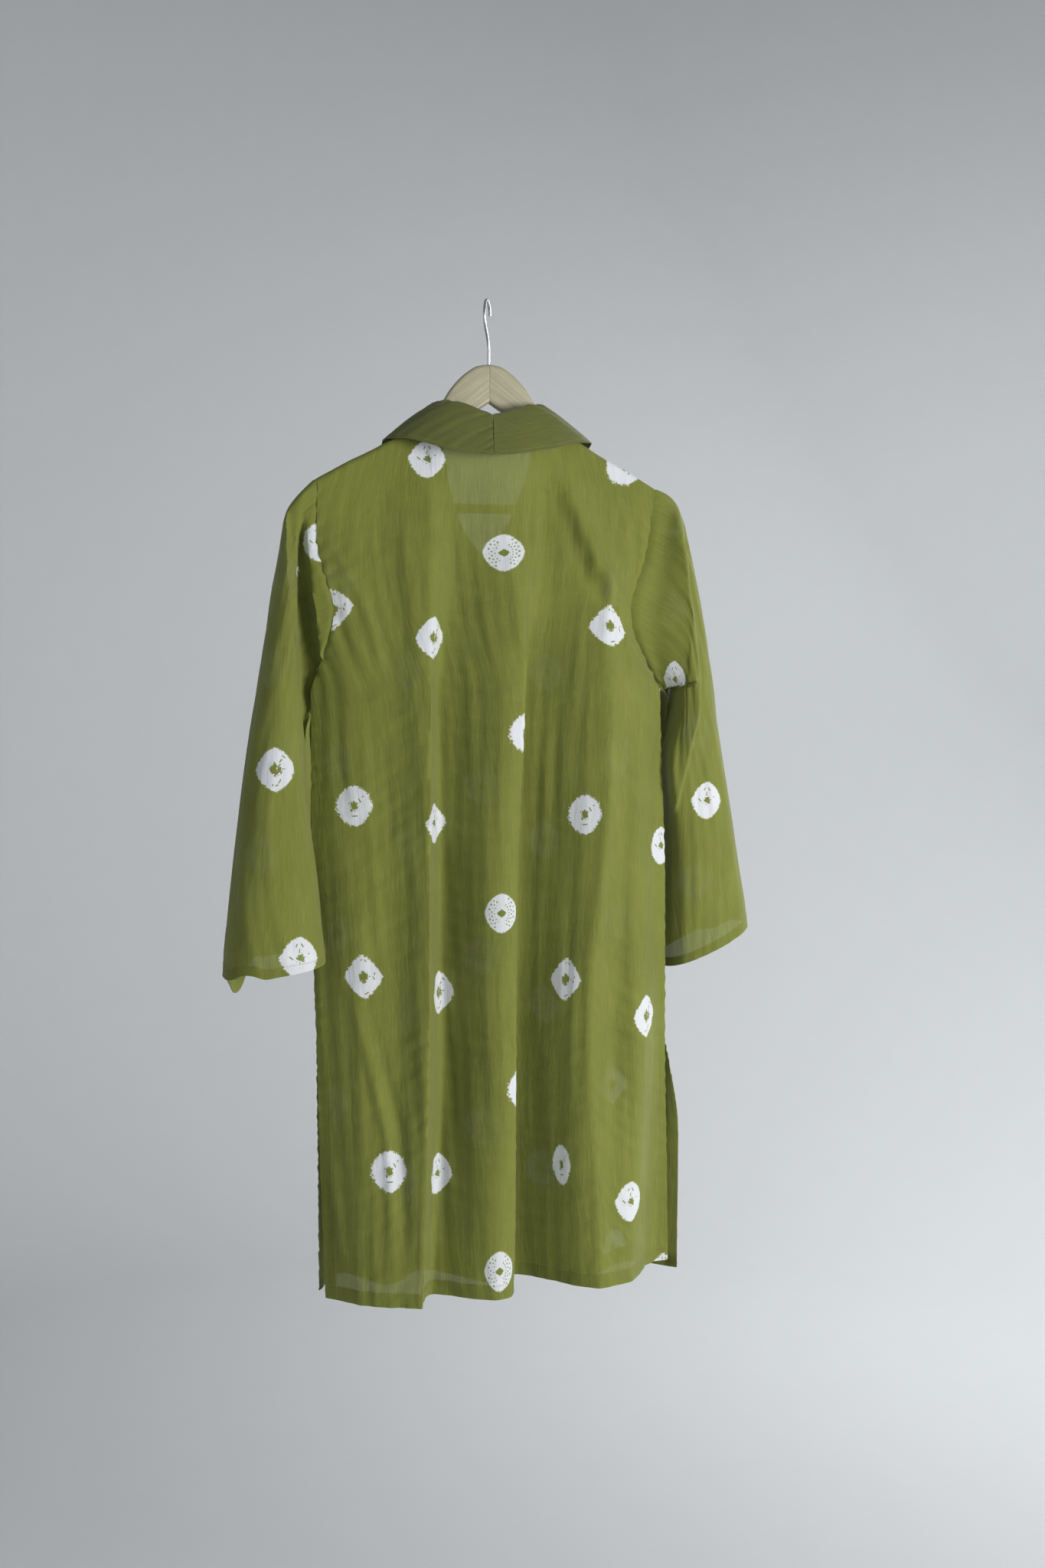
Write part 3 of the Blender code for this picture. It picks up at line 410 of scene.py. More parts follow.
def panel(folds, columns, side, neckline, hem):
    """Mid-surface of a panel as rows of points. side is -1 for the back and 1 for the front."""
    knots = bend_through(fold_places(folds, LEVELS[0]), columns)
    edge, neck, _ = top_edge(knots[:, 0], neckline)
    edge_x, edge_y, edge_z = edge.T
    rows = [np.column_stack([edge_x, np.where(neck, edge_y, side * SEAM_HALF), edge_z])]
    for degrees in reversed(BEND_STEPS):
        angle = radians(degrees)
        y = np.where(neck, edge_y, side * (BEND_CENTRE + BEND * sin(angle)))
        rows.append(np.column_stack([edge_x, y, edge_z - BEND * (1 - cos(angle))]))
    held = np.where(neck, edge_y, side * (BEND_CENTRE + BEND))
    for share in YOKE_ROWS:
        x, y = bend_through(fold_places(folds, ARMPIT + share * (LEVELS[0] - ARMPIT)), columns).T
        x = x + share ** 3 * (edge_x - knots[:, 0])
        y = y + share ** 8 * (held - y)
        rows.append(np.column_stack([x, y, ARMPIT + share * (edge_z - BEND - ARMPIT)]))
    for level in BODY_ROWS:
        section = bend_through(fold_places(folds, level), columns)
        share = ramp(SLIT_TOP - level, SLIT_TOP - HEM_BACK)
        drop = through(np.linspace(0, 1, len(hem)), hem, np.linspace(0, 1, len(section))) - HEM_BACK
        rows.append(np.column_stack([section, level + share * drop]))
    grid = np.array(rows)
    grid[len(BEND_STEPS) + len(YOKE_ROWS):, [0, -1], 1] += side * SEAM_HALF
    return grid


def neck_edge(front, back, sign):
    """One side's neck edge points, front to centre back, and the cloth's way on into the neck."""
    found = []
    back_steps = CENTRE_BACK if sign < 0 else int(BACK_NECK[-1, 0]) - CENTRE_BACK
    for grid, neckline, steps in ((front, FRONT_NECK, COLLAR_START), (back, BACK_NECK, back_steps)):
        point = top_edge(grid[0, :, 0], neckline)[2] + (0 if sign < 0 else int(neckline[-1, 0]))
        columns = [point - sign * i for i in range(steps + 1)]
        edge = grid[0, columns]
        away = edge - grid[1, columns]
        away[0] = edge[0] - grid[0, point + sign]
        along = np.gradient(edge, axis=0)
        away -= along * (np.sum(away * along, axis=1) / np.sum(along * along, axis=1))[:, None]
        found.append((edge, unit_rows(away)))
    (front_edge, front_away), (back_edge, back_away) = found
    middle = (front_edge[:1] + back_edge[:1]) / 2
    return (np.vstack([front_edge[:0:-1], middle, back_edge[1:]]),
            np.vstack([front_away[:0:-1], back_away]))


# ---- sleeves and collar
def sleeve(table, sign, back_edge, front_edge):
    """Mid-surface of a sleeve: rings from the armhole to the cuff, the outer fold first.

    The first ring lies along the panels' armhole edges, so its points share their rows.
    """
    last = 1 + len(BEND_STEPS) + len(YOKE_ROWS)
    head = np.vstack([back_edge[:last], front_edge[last - 2:0:-1]])
    for end in (0, last - 1):
        head[end] = (back_edge[end] + front_edge[end]) / 2
    head[:, 0] += sign * (WALL / 2 + SEAM_GAP)
    below = head[0, 2] - head[:, 2]
    fall = below / (head[0, 2] - head[last - 1, 2])
    facing = np.concatenate([[0], -np.ones(last - 2), [0], np.ones(last - 2)])
    in_front = facing > 0
    roundness = np.clip(1 - np.abs(2 * fall - 1) ** SLEEVE_BLUNT, 0, 1) ** (1 / SLEEVE_BLUNT)
    flap = np.sin(pi * ramp(fall, FLAP_SHARE)) ** 2
    over = BEND_CENTRE + np.sqrt(np.clip(BEND ** 2 - np.clip(BEND - below, 0, BEND) ** 2, 0, None))
    over[0] = 0.0
    over *= HEAD_EASE
    rings = []
    for k, (out_x, out_z, in_x, in_z, mid, back, front, lean, drop) in enumerate(table):
        x = sign * (out_x + (in_x - out_x) * fall - lean * roundness * fall ** 2 * in_front)
        y = mid + np.where(in_front, front, -back) * roundness
        z = out_z + (in_z - out_z) * fall - drop * flap * np.where(in_front, 1.0, FLAP_LIFT)
        ring = np.column_stack([x, y, z])
        if k == 0:
            rest = head - ring
        ring += rest * max(0.0, 1 - k / WOOD_RINGS) ** 1.5
        if 0 < k < WOOD_RINGS:
            tight = (np.abs(ring[:, 1]) < over) & (fall < 0.5)
            ring[tight, 1] = (facing * over)[tight]
        rings.append(ring)
    return np.array(rings)


def collar(table, sign, neck):
    """Mid-surface of half the collar: rows from its front end to the centre back."""
    at = [i / 2 for i in range(2 * COLLAR_START)] + list(range(COLLAR_START, int(table[-1, 0]) + 1))
    roll, edge = (through(table[:, 0], table[:, k:k + 3], at) for k in (1, 4))
    base = neck[0] + neck[1] * COLLAR_GAP
    seam = np.column_stack([np.interp(at, np.arange(len(base)), axis) for axis in base.T])
    rows = []
    for s, r, e in zip(seam, roll, edge):
        high = norm(s - r)
        stand, leaf = (s - r) / high, (e - r) / norm(e - r)
        along = (stand + leaf) / norm(stand + leaf)
        apart = leaf - stand - along * np.dot(leaf - stand, along)
        apart *= ROLL_HALF / norm(apart)
        size = min(1.0, high / FULL_STAND)
        belly = apart * 1.6
        rows.append([s, s + (r - s) * 0.5 - apart * 0.4 * size, r + stand * 4 * size - apart * size,
                     r + (along * 0.7 - apart * 0.85) * size, r - along * size,
                     r + (along * 0.7 + apart * 0.85) * size, r + leaf * 4 + apart,
                     r + (e - r) * 0.35 + belly, r + (e - r) * 0.7 + belly * 0.7, e])
    grid = np.array(rows)
    grid[-1, :, 0] += sign * COLLAR_SEAM / 2
    return grid


# ---- walls and bars
def normals(grid, ring=False):
    """Unit normals of a grid of points. ring says that its columns close round."""
    if ring:
        across = (np.roll(grid, -1, axis=1) - np.roll(grid, 1, axis=1)) / 2
    else:
        across = np.gradient(grid, axis=1)
    normal = np.cross(across, np.gradient(grid, axis=0))
    return normal / np.maximum(norm(normal, axis=2, keepdims=True), 1e-9)


def closed(grid):
    """A ring's grid with its first column again as its last."""
    return np.concatenate([grid, grid[:, :1]], axis=1)


def wall(grid, ring, thickness):
    """Vertices and faces of a closed wall of one thickness round a mid-surface.

    Both sides of a cell are split along its shorter diagonal, so that they stay parallel.
    """
    offset = normals(grid, ring) * thickness / 2
    points = np.concatenate([(grid + offset).reshape(-1, 3), (grid - offset).reshape(-1, 3)])
    count = grid.shape[0] * grid.shape[1]
    index = np.arange(count).reshape(grid.shape[:2])
    if ring:
        index = closed(index)
    corners = [part.ravel() for part in (index[:-1, :-1], index[1:, :-1], index[1:, 1:], index[:-1, 1:])]
    a, b, c, d = (grid.reshape(-1, 3)[corner] for corner in corners)
    turned = norm(c - a, axis=1) > norm(d - b, axis=1)
    cell = np.where(turned[:, None], np.column_stack(corners[1:] + corners[:1]), np.column_stack(corners))
    halves = [cell[:, [0, 1, 2]], cell[:, [2, 1, 0]] + count, cell[:, [0, 2, 3]], cell[:, [3, 2, 0]] + count]
    faces = np.stack(halves, axis=1).reshape(-1, 3).tolist()
    rims = ((index[0], (0, 1, 2, 3)), (index[-1], (3, 2, 1, 0)),
            (index[:, 0], (0, 3, 2, 1)), (index[:, -1], (1, 2, 3, 0)))
    for line, order in rims[:2 if ring else 4]:
        rim = np.column_stack([line[:-1], line[1:], line[1:] + count, line[:-1] + count])
        faces += rim[:, order].tolist()
    return points, faces


def loft(rings):
    """Vertices and faces of a solid through closed rings, with a flat face at each end, last."""
    rings = np.asarray(rings, float)
    count, sides = rings.shape[:2]
    faces = [[r * sides + i, r * sides + (i + 1) % sides, (r + 1) * sides + (i + 1) % sides,
              (r + 1) * sides + i] for r in range(count - 1) for i in range(sides)]
    ends = [list(range(sides))[::-1], list(range((count - 1) * sides, count * sides))]
    return rings.reshape(-1, 3), faces + ends


def circle(sides):
    """Angles evenly round a circle."""
    return np.linspace(0, 2 * pi, sides, endpoint=False)


def bar(path, first, second, radius, sides):
    """Vertices and faces of a round bar along a path, with two directions across it at each point."""
    turn = circle(sides)[None, :, None]
    return loft(path[:, None] + radius * (first[:, None] * np.cos(turn) + second[:, None] * np.sin(turn)))


# ---- fine forms
def finer(grid, step, ring=False):
    """The grid with more rows, about a step apart. A ring's first and last gaps stay."""
    gaps = norm(np.diff(grid, axis=0), axis=2).mean(axis=1)
    counts = [max(1, round(gap / step)) for gap in gaps]
    if ring:
        counts[0] = counts[-1] = 1
    return bend_through(grid.reshape(len(grid), -1), counts).reshape(-1, grid.shape[1], 3)


def spread(grid, step, ring=False):
    """The grid drawn finer, with cells of about one step, through the same points."""
    turned = np.swapaxes(finer(grid, step), 0, 1)
    if ring:
        turned = finer(np.concatenate([turned[-1:], turned, turned[:2]]), step, ring=True)[1:-2]
    else:
        turned = finer(turned, step)
    return np.swapaxes(turned, 0, 1)


def steepen(grid):
    """The back's grid with steeper faces beside its two sharpest folds."""
    grid = grid.copy()
    share = ramp(STEEPER_FROM - grid[:, :, 2], STEEPER_FROM - STEEPER_TO)
    for first, last, part in FLATTER:
        for column in range(first + 1, last):
            chord = grid[:, first] + (grid[:, last] - grid[:, first]) * (column - first) / (last - first)
            grid[:, column] += part * share[:, column:column + 1] * (chord - grid[:, column])
    for column, shift in STEEPER:
        grid[:, column, 0] += shift * share[:, column]
    return grid


def pushed(grid, name):
    """A sleeve's grid with its heaps and hollows."""
    for owner, x, y, z, across, down, *push in SLEEVE_PUSHES:
        if owner == name:
            level = ((grid[:, :, 0] - x) ** 2 + (grid[:, :, 1] - y) ** 2) / across ** 2
            share = np.exp(-level - ((grid[:, :, 2] - z) / down) ** 2)
            grid = grid + share[..., None] * np.array(push)
    return grid


def fold_lines(table, z):
    """A sleeve fold's table at each point's height, a grid a column."""
    return (np.interp(-z, -table[:, 0], column) for column in table[:, 1:].T)


def away_from_back(grid, push):
    return grid + push[..., None] * np.array((0.0, 1.0, 0.0))


def crest_rise(x, crest, left, right):
    """1 on a crest, falling off softly over a length to its left and straight to its right."""
    return np.where(x < crest, np.exp((x - crest) / left), np.clip(1 - (x - crest) / right, 0, 1))


def arm_fold(grid):
    """The right sleeve's grid with the fold down its back, which hangs over a hollow at the elbow."""
    x, y, z = np.moveaxis(grid, 2, 0)
    near = ramp(y.mean(axis=1, keepdims=True) - y, 10)
    strip, crest, depth = fold_lines(ARM_FOLD, z)
    edge = OVERHANG[0] + OVERHANG[1] * (x - crest)
    below = ramp(edge - z, 3)
    left = np.clip((crest - x) / (crest - strip), 0, 1.3)
    rise = ARM_CREST * crest_rise(x, crest, 22, 3.5)
    lip = LIP * np.exp(-np.abs(z - edge) / 9) * np.clip(left * 3, 0, 1)
    fallen = LIP * left * ramp(depth, 8) + depth * ramp(left - 1, 0.2)
    ends = ramp(ARM_TOP - z, 30) * ramp(z - ARM_FOOT, 40)
    return away_from_back(grid, (below * fallen - rise - (1 - below) * lip) * near * ends)


def head_fold(grid):
    """The left sleeve's grid with its outer fold and the hollow that runs down from the shoulder."""
    x, y, z = np.moveaxis(grid, 2, 0)
    middle = y.mean(axis=1, keepdims=True)
    near = ramp(middle - y, 7)
    crest, start, end, depth = fold_lines(HEAD_FOLD, z)
    hollow = np.clip((x - start) / 4 + 0.5, 0, 1) * np.clip((end - x) / 5 + 0.5, 0, 1)
    lean = 0.1 + 0.9 * ramp(start - x, start - crest)
    step = HEAD_STEP * lean * ramp(x - crest, 2.5) * ramp(end + 3 - x, 6)
    rise = HEAD_CREST * crest_rise(x, crest, 12, 3)
    ends = ramp(HEAD_TOP - z, 30) * ramp(z - HEAD_FOOT, 70)
    push = (depth * hollow + step - rise) * near * ends
    return away_from_back(grid, np.minimum(push, np.maximum(middle + 5 - y, 0)))


def flat_place(grid, ring=False):
    """The flat cloth's u (across) and v (up) of each point, as lengths along its rows and columns."""
    across = norm(np.diff(grid, axis=1), axis=2)
    down = norm(np.diff(grid, axis=0), axis=2)
    u = np.concatenate([np.zeros((len(grid), 1)), np.cumsum(across, axis=1)], axis=1)
    v = -np.concatenate([np.zeros((1, grid.shape[1])), np.cumsum(down, axis=0)], axis=0)
    if not ring:
        u -= u[:, -1:] / 2
    return u, v


def ripple(place, seed, high, waves):
    """A smooth uneven wave along a line: the sum of a few waves between two wavelengths."""
    source = np.random.default_rng(seed)
    total = np.zeros_like(place, float)
    for _ in range(5):
        total += np.sin(2 * pi * place / source.uniform(*waves) + source.uniform(0, 6.28))
    return high * (total / 2.2)


def wrinkles(u, v, seed, high, across, along, count):
    """Fine wrinkles, as the sum of waves with one wavelength across the cloth and one along it."""
    source = np.random.default_rng(seed)
    total = np.zeros_like(u)
    for _ in range(count):
        ku = 2 * pi / source.uniform(*across)
        kv = 2 * pi / source.uniform(*along) * source.choice((-1, 1))
        total += np.cos(ku * u + kv * v + source.uniform(0, 6.28) + 0.8 * np.sin(v / 90 + ku * 40))
    return high * (total / sqrt(count))


def crease(grid, half, course):
    """1 on a crease's course and falling off to both sides, by x and z."""
    place = grid[:, :, [0, 2]]
    course = np.asarray(course, float)
    near = np.full(place.shape[:2], 1e9)
    ahead = np.zeros(place.shape[:2])
    for i, (a, b) in enumerate(zip(course[:-1], course[1:])):
        t = np.clip(((place - a) @ (b - a)) / ((b - a) @ (b - a)), 0, 1)
        gap = norm(place - (a + t[..., None] * (b - a)), axis=2)
        ahead = np.where(gap < near, (i + t) / (len(course) - 1), ahead)
        near = np.minimum(near, gap)
    ends = np.clip(np.sin(pi * np.clip(ahead, 0.02, 0.98)), 0, 1) ** 0.6
    return np.exp(-(near / half) ** 2) * ends


def fade(distance, reach):
    return np.exp(-np.abs(distance) / reach)


def panel_relief(grid, creases, seed):
    """How far each point of a fine panel stands out from its smooth form. On the wood none sinks in."""
    u, v = flat_place(grid)
    z = grid[:, :, 2]
    edge = np.minimum(u - u[:, :1], u[:, -1:] - u)
    free = ramp(CLEAR - z, CLEAR_OVER)
    relief = wrinkles(u, v, seed, *PANEL_WRINKLES) * (0.35 + 0.65 * free)
    relief += wrinkles(u, v, seed + 1, *CROSS_WRINKLES) * free
    for half, out, *course in creases:
        relief += out * crease(grid, half, course)
    pucker = ripple(v, seed + 2, *SIDE_PUCKER) * fade(edge, 9)
    relief += pucker * np.where(z > ARMPIT, 1.0, 0.7) * ramp(-195 - z, 20)
    relief -= SEAM_GROOVE * ramp(z - ARMPIT, 45) * fade(edge, GROOVE_HALF) * free
    relief += ripple(u, seed + 3, *HEM_RIPPLE) * fade(v - v[-1:] - 15, 6) * free
    return np.where(free > 0, relief, np.maximum(relief, 0) * 0.4)


def sleeve_relief(grid, seed):
    """How far each point of a fine sleeve stands out from its smooth form."""
    u, v = flat_place(grid)
    z = grid[:, :, 2]
    relief = wrinkles(u, v, seed, *SLEEVE_WRINKLES) * ramp(-v, 60)
    relief += ripple(u, seed + 1, *ARMHOLE_PUCKER) * fade(v, 9) * np.clip(-v / 3, 0.2, 1)
    relief += ripple(u, seed + 2, *CUFF_RIPPLE) * fade(v - v[-1:] - CUFF_HEM, 5)
    return relief - SEAM_GROOVE * fade(v, GROOVE_HALF) * ramp(-215 - z, 40) * ramp(z - ARMPIT - 5, 45)


# ---- meshes
def scene_object(name, data):
    made = bpy.data.objects.new(name, data)
    scene.collection.objects.link(made)
    return made


def new_mesh(name, points, faces, scale=MM):
    mesh = bpy.data.meshes.new(name)
    mesh.from_pydata((np.asarray(points) * scale).tolist(), [], faces)
    return mesh


def piece(mesh, material, slot):
    """An object of the tunic or hanger, riding on the row's one body."""
    mesh.materials.append(material)
    mesh.validate()
    mesh.shade_smooth()
    mesh.set_sharp_from_angle(angle=SHARP)
    made = scene_object(mesh.name, mesh)
    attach(made, "root")
    return made


def nearest_dots(grid, u, v, marks, ring, sunk):
    """For each dot its offsets from every point and its form, and each point's nearest dot.

    Offsets are lengths along the cloth, or in the plane that touches it at the dot where rows and
    columns lean: on sleeves and near the shoulders. The other side of a sleeve is kept from a dot,
    and so is the place right across from it, where offsets turn through nothing.
    """
    wide, facing = (closed(part) if ring else part for part in (grid, normals(grid, ring)))
    depth = wide[:, :, 1] - wide[:, :, 1].mean(axis=1, keepdims=True)
    offsets, far = [], []
    for form, x, z, spot, squeeze in marks:
        gap = (wide[:, :, 0] - x) ** 2 + (wide[:, :, 2] - z) ** 2
        if ring:
            gap += np.where(spot * depth < 0, FAR, 0)
        r, c = np.unravel_index(np.argmin(gap), gap.shape)
        if ring or z > PLANE_ABOVE:
            away = wide - wide[r, c]
            level = np.cross(facing[r, c], (0.0, 0.0, 1.0))
            level *= np.sign(level[0]) / norm(level)
            steep = np.cross(facing[r, c], level)
            steep *= np.sign(steep[2])
            du, dv = away @ level, away @ steep
            chord, flat = norm(away, axis=2), np.hypot(du, dv)
            stretch = chord / np.maximum(flat, 0.01)
            du, dv = du * stretch, dv * stretch - sunk
            hidden = ring and spot * depth < -SIDE_DEPTH
            across = (chord > ACROSS) & (flat < chord / 3)
            far.append(chord ** 2 + np.where(hidden, FAR, 0) + np.where(across, 2 * FAR, 0))
        else:
            du, dv = u - u[:, c:c + 1] - spot, v - v[r:r + 1] + wide[r, c, 2] - z
            far.append(du ** 2 + dv ** 2)
        offsets.append(np.stack([du / squeeze, dv, np.full_like(du, form)], axis=-1))
    return np.array(offsets), np.argmin(far, axis=0)


def shell(name, grid, ring, material, thickness=CLOTH, marks=None, slot="cotton", sunk=0.0):
    """A closed thin wall round a fine grid as an object, with its flat UVs and its nearest dots."""
    columns = grid.shape[1]
    mesh = new_mesh(name, *wall(grid, ring, thickness))
    corner, starts = np.empty(len(mesh.loops), int), np.empty(len(mesh.polygons), int)
    mesh.loops.foreach_get("vertex_index", corner)
    mesh.polygons.foreach_get("loop_start", starts)
    row, column = np.divmod(corner % (len(grid) * columns), columns)
    owner = np.searchsorted(starts, np.arange(len(corner)), side="right") - 1
    if ring:
        reach = (np.maximum.reduceat(column, starts) - np.minimum.reduceat(column, starts))[owner]
        column = np.where((reach > columns // 2) & (column < columns // 2), column + columns, column)
    u, v = flat_place(closed(grid) if ring else grid, ring)
    flat = np.column_stack([u[row, column], v[row, column]])
    mesh.uv_layers.new(name="flat").data.foreach_set("uv", (flat * MM).ravel())
    if marks is not None:
        offsets, dot = nearest_dots(grid, u, v, marks, ring, sunk)
        first_row, first_column = (np.minimum.reduceat(line, starts)[owner] for line in (row, column))
        value = offsets[dot[first_row, first_column], row, column]
        mesh.attributes.new("dot", "FLOAT_VECTOR", "CORNER").data.foreach_set("vector", value.ravel())
    return piece(mesh, material, slot)


def turned_in(name, grid, out, material, ring=False):
    """A turned-in layer of cloth just inside a part of a fine grid."""
    return shell(name, grid - out * HEM_INSIDE, ring, material, HEM_CLOTH)


def stitches(name, lines, material):
    """Stitches along lines of points and normals, as short threads that lie on the cloth."""
    share = np.array((0.0, 0.18, 0.5, 0.82, 1.0))
    lift = (CLOTH / 2 + np.array((-0.25, 0.12, 0.17, 0.12, -0.25)))[:, None]
    points, faces = [], []
    for path, up in lines:
        run = np.concatenate([[0], np.cumsum(norm(np.diff(path, axis=0), axis=1))])
        for start in np.arange(STITCH_PITCH / 2, run[-1] - STITCH, STITCH_PITCH):
            centre, normal = (np.column_stack([np.interp(start + share * STITCH, run, axis)
                                               for axis in line.T]) for line in (path, up))
            centre += normal * lift
            across = np.cross(unit_rows(np.gradient(centre, axis=0)), normal)
            ring_points, ring_faces = bar(centre, across, normal, THREAD_RADIUS, 5)
            faces += [[len(points) + i for i in face] for face in ring_faces]
            points.extend(ring_points)
    return piece(new_mesh(name, points, faces), material, "cotton")


# ---- materials
def adds(operation, turned=False):
    """A method for Value that adds one math node. turned puts the method's own value last."""
    def method(value, *others):
        values = (value, *others)
        return value.nodes.math(operation, *(values[::-1] if turned else values))
    return method


class Value:
    """A shader socket, with the arithmetic that adds math nodes."""
    __add__ = adds("ADD")
    __sub__ = adds("SUBTRACT")
    __rsub__ = adds("SUBTRACT", turned=True)
    __mul__ = adds("MULTIPLY")
    __truediv__ = adds("DIVIDE")
    __rtruediv__ = adds("DIVIDE", turned=True)
    __pow__ = adds("POWER")
    __abs__ = adds("ABSOLUTE")
    __lt__ = adds("LESS_THAN")
    __gt__ = adds("GREATER_THAN")

    def __init__(self, nodes, socket):
        self.nodes = nodes
        self.socket = socket


class Nodes:
    """Short names for making and joining shader nodes. A value is a Value, a number or a colour."""

    def __init__(self, name):
        self.material = bpy.data.materials.new(name)
        self.material.use_nodes = True
        self.tree = self.material.node_tree
        self.shader = self.tree.nodes["Principled BSDF"]

    def join(self, value, socket):
        if isinstance(value, Value):
            self.tree.links.new(value.socket, socket)
        else:
            socket.default_value = (*value, 1.0) if isinstance(value, tuple) else value

    def node(self, kind, inputs=(), output=0, **settings):
        """Adds a node and gives its output. inputs are values by the name or number of their socket."""
        node = self.tree.nodes.new("ShaderNode" + kind)
        for key, setting in settings.items():
            setattr(node, key, setting)
        for key, value in dict(inputs).items():
            self.join(value, node.inputs[key])
        return Value(self, node.outputs[output])

    def math(self, operation, *values):
        return self.node("Math", enumerate(values), operation=operation)

    def fused(self, *values):
        """The first value times the second, plus the third."""
        return self.math("MULTIPLY_ADD", *values)

    def mix(self, share, first, second):
        return self.node("Mix", {0: share, 6: first, 7: second}, 2, data_type="RGBA")

    def vector(self, *values):
        return self.node("CombineXYZ", enumerate(values))

    def split(self, vector):
        node = self.node("SeparateXYZ", {0: vector}).socket.node
        return [Value(self, socket) for socket in node.outputs]

    def place(self):
        return self.node("TexCoord", output="Object")

    def noise(self, vector, scale, detail=2.0, roughness=0.5):
        return self.node("TexNoise", {"Vector": vector, "Scale": scale, "Detail": detail,
                                      "Roughness": roughness}, "Fac")

    def step(self, value, low, high):
        """0 below low and 1 above high, smoothly."""
        return self.node("MapRange", {0: value, 1: low, 2: high}, interpolation_type="SMOOTHSTEP")

    def bump(self, height, strength, distance, **onto):
        return self.node("Bump", {"Strength": strength, "Distance": distance, "Height": height, **onto})

    def finish(self, **values):
        """Sets or links the main shader's sockets, with _ for each space, and gives the material."""
        for name, value in values.items():
            self.join(value, self.shader.inputs[name.replace("_", " ")])
        return self.material


# The five forms of tie-dye dot: half width, half height, the power of the outline's superellipse (1
# makes a diamond, 2 a round one) and how ragged it is, then the same of the eye.
DOTS = (
    (22.6, 20, 1.65, 1.3, 6.4, 3.9, 1.3, 1.2),  # eye
    (20.6, 21.8, 1.35, 3.2, 4.6, 5.8, 1.7, 3),  # diamond
    (20.6, 20.6, 1.75, 4.6, 4.2, 5.4, 1.8, 5),  # ragged round
    (20.2, 20.6, 1.5, 2.2, 3.9, 3.8, 1.8, 8),  # small star
    (20.2, 21.4, 1.5, 2, 5.2, 5.6, 1.8, 8),  # large star
)
# Short dashes of dye left in the white of the forms: form, middle x, y, half length and tilt.
DASHES = (
    (1, 11.4, -1.6, 1.3, -65), (1, 12.6, 2.8, 0.9, 75), (1, 3.4, 16.4, 1.3, -45),
    (1, -1, 17.4, 0.7, 60), (1, 2.6, -16.6, 2, 25), (1, 6.8, 0.4, 0.4, 0), (2, 0.6, -10.6, 2.9, 2),
    (2, 6.6, 5.6, 2.1, -55), (2, 10.6, 9.4, 0.6, 30), (3, 2.8, 12.6, 1.6, -60), (3, -3, 12.6, 1.2, 60),
    (3, -0.4, 7.2, 1.5, 80), (3, -9.2, 0.9, 2, -40), (3, 9.4, 3.9, 0.5, 0), (4, 5.4, 8.6, 1.8, 52),
    (4, 8.6, 12.8, 1.7, -35), (4, 8.2, 0.8, 1.5, 5), (4, 4.2, -11.6, 1.9, 60), (4, 1, -15.8, 1.4, 15),
    (4, -3, -15.4, 0.8, 70),
)


DOT_HALF, EYE_HALF = 21.0, 4.5  # these make mm of shares of a dot's and an eye's half width
RAYS, RAY_RING = 20, 3.6  # the first form's rays in one round, and the depth of a ring of them
RAYS_FROM, RAYS_TO = 7.0, 18.5  # their distance from its middle


def superellipse(x, y, width, height, power):
    """1 on the outline of a rounded diamond, less inside."""
    return (abs(x / width) ** power + abs(y / height) ** power) ** (1.0 / power)


def dot_mask(n):
    """1 in the white of the tie-dye dots and 0 in the green, and the rim that is only half dyed."""
    x, y, kind = n.split(n.node("Attribute", output="Vector", attribute_name="dot"))
    forms = [n.math("COMPARE", kind, float(i), 0.3) for i in range(len(DOTS))]

    def by_form(column):
        total = 0.0
        for form, row in zip(forms, DOTS):
            total = n.fused(form, row[column], total)
        return total

    fine = n.noise(n.vector(x, y, kind * 7.3), 0.3, 3.0, 0.6)
    teeth = n.noise(n.vector(x, y, kind * 3.1), 0.62, 1.0)
    ragged = (fine - 0.5) + (teeth - 0.5) * 0.6
    outer = (superellipse(x, y, by_form(0), by_form(1), by_form(2)) - 1.0) * DOT_HALF
    outer = n.fused(ragged, by_form(3) * 2.3, outer)
    eye = (superellipse(x, y, by_form(4), by_form(5), by_form(6)) - 1.0) * EYE_HALF
    eye = n.fused(ragged, by_form(7) * 2.2, eye)

    dashes = 50.0
    for form, cx, cy, half, tilt in DASHES:
        c, s = cos(radians(tilt)), sin(radians(tilt))
        along = n.fused(x, c, n.fused(y, s, -(cx * c + cy * s)))
        off = n.fused(x, -s, n.fused(y, c, cx * s - cy * c))
        over = n.math("MAXIMUM", abs(along) - half, 0.0)
        far = n.math("SQRT", over * over + off * off)
        dashes = n.math("MINIMUM", dashes, n.fused(1.0 - forms[form], 50.0, far))
    dashes = n.fused(ragged, 0.9, dashes)

    # The rays of the first form, in rings that are half a ray turned from each other.
    radius = n.math("SQRT", x * x + y * y)
    turn = n.math("ARCTAN2", y, x)
    ring = radius / RAY_RING
    ray = n.math("FRACT", turn * (RAYS / (2 * pi)) + n.math("FLOOR", ring) * 0.5)
    rays = (ray < 0.42) * (n.math("FRACT", ring) > 0.42)
    rays = rays * (abs(n.math("COSINE", turn)) > 0.45)
    rays = rays * ((radius > RAYS_FROM) * (radius < RAYS_TO))
    rays = (rays * forms[0]) * (fine > 0.44)

    white = (1.0 - n.step(outer, -0.35, 0.35)) * n.step(eye, -0.3, 0.4)
    white = white * n.step(dashes, 0.35, 0.75) * n.fused(rays, -0.85, 1.0)
    return white, 1.0 - n.step(abs(outer + 0.2), 0.2, 1.6)


GREEN = (0.225, 0.252, 0.043)
LIGHT_GREEN = (0.33, 0.37, 0.115)
DEEP_GREEN = (0.17, 0.193, 0.029)
WHITE = (0.72, 0.74, 0.775)
DULL_WHITE = (0.64, 0.66, 0.70)
RIM = (0.55, 0.58, 0.36)


def toned(colour, tone):
    return tuple(c * tone for c in colour)


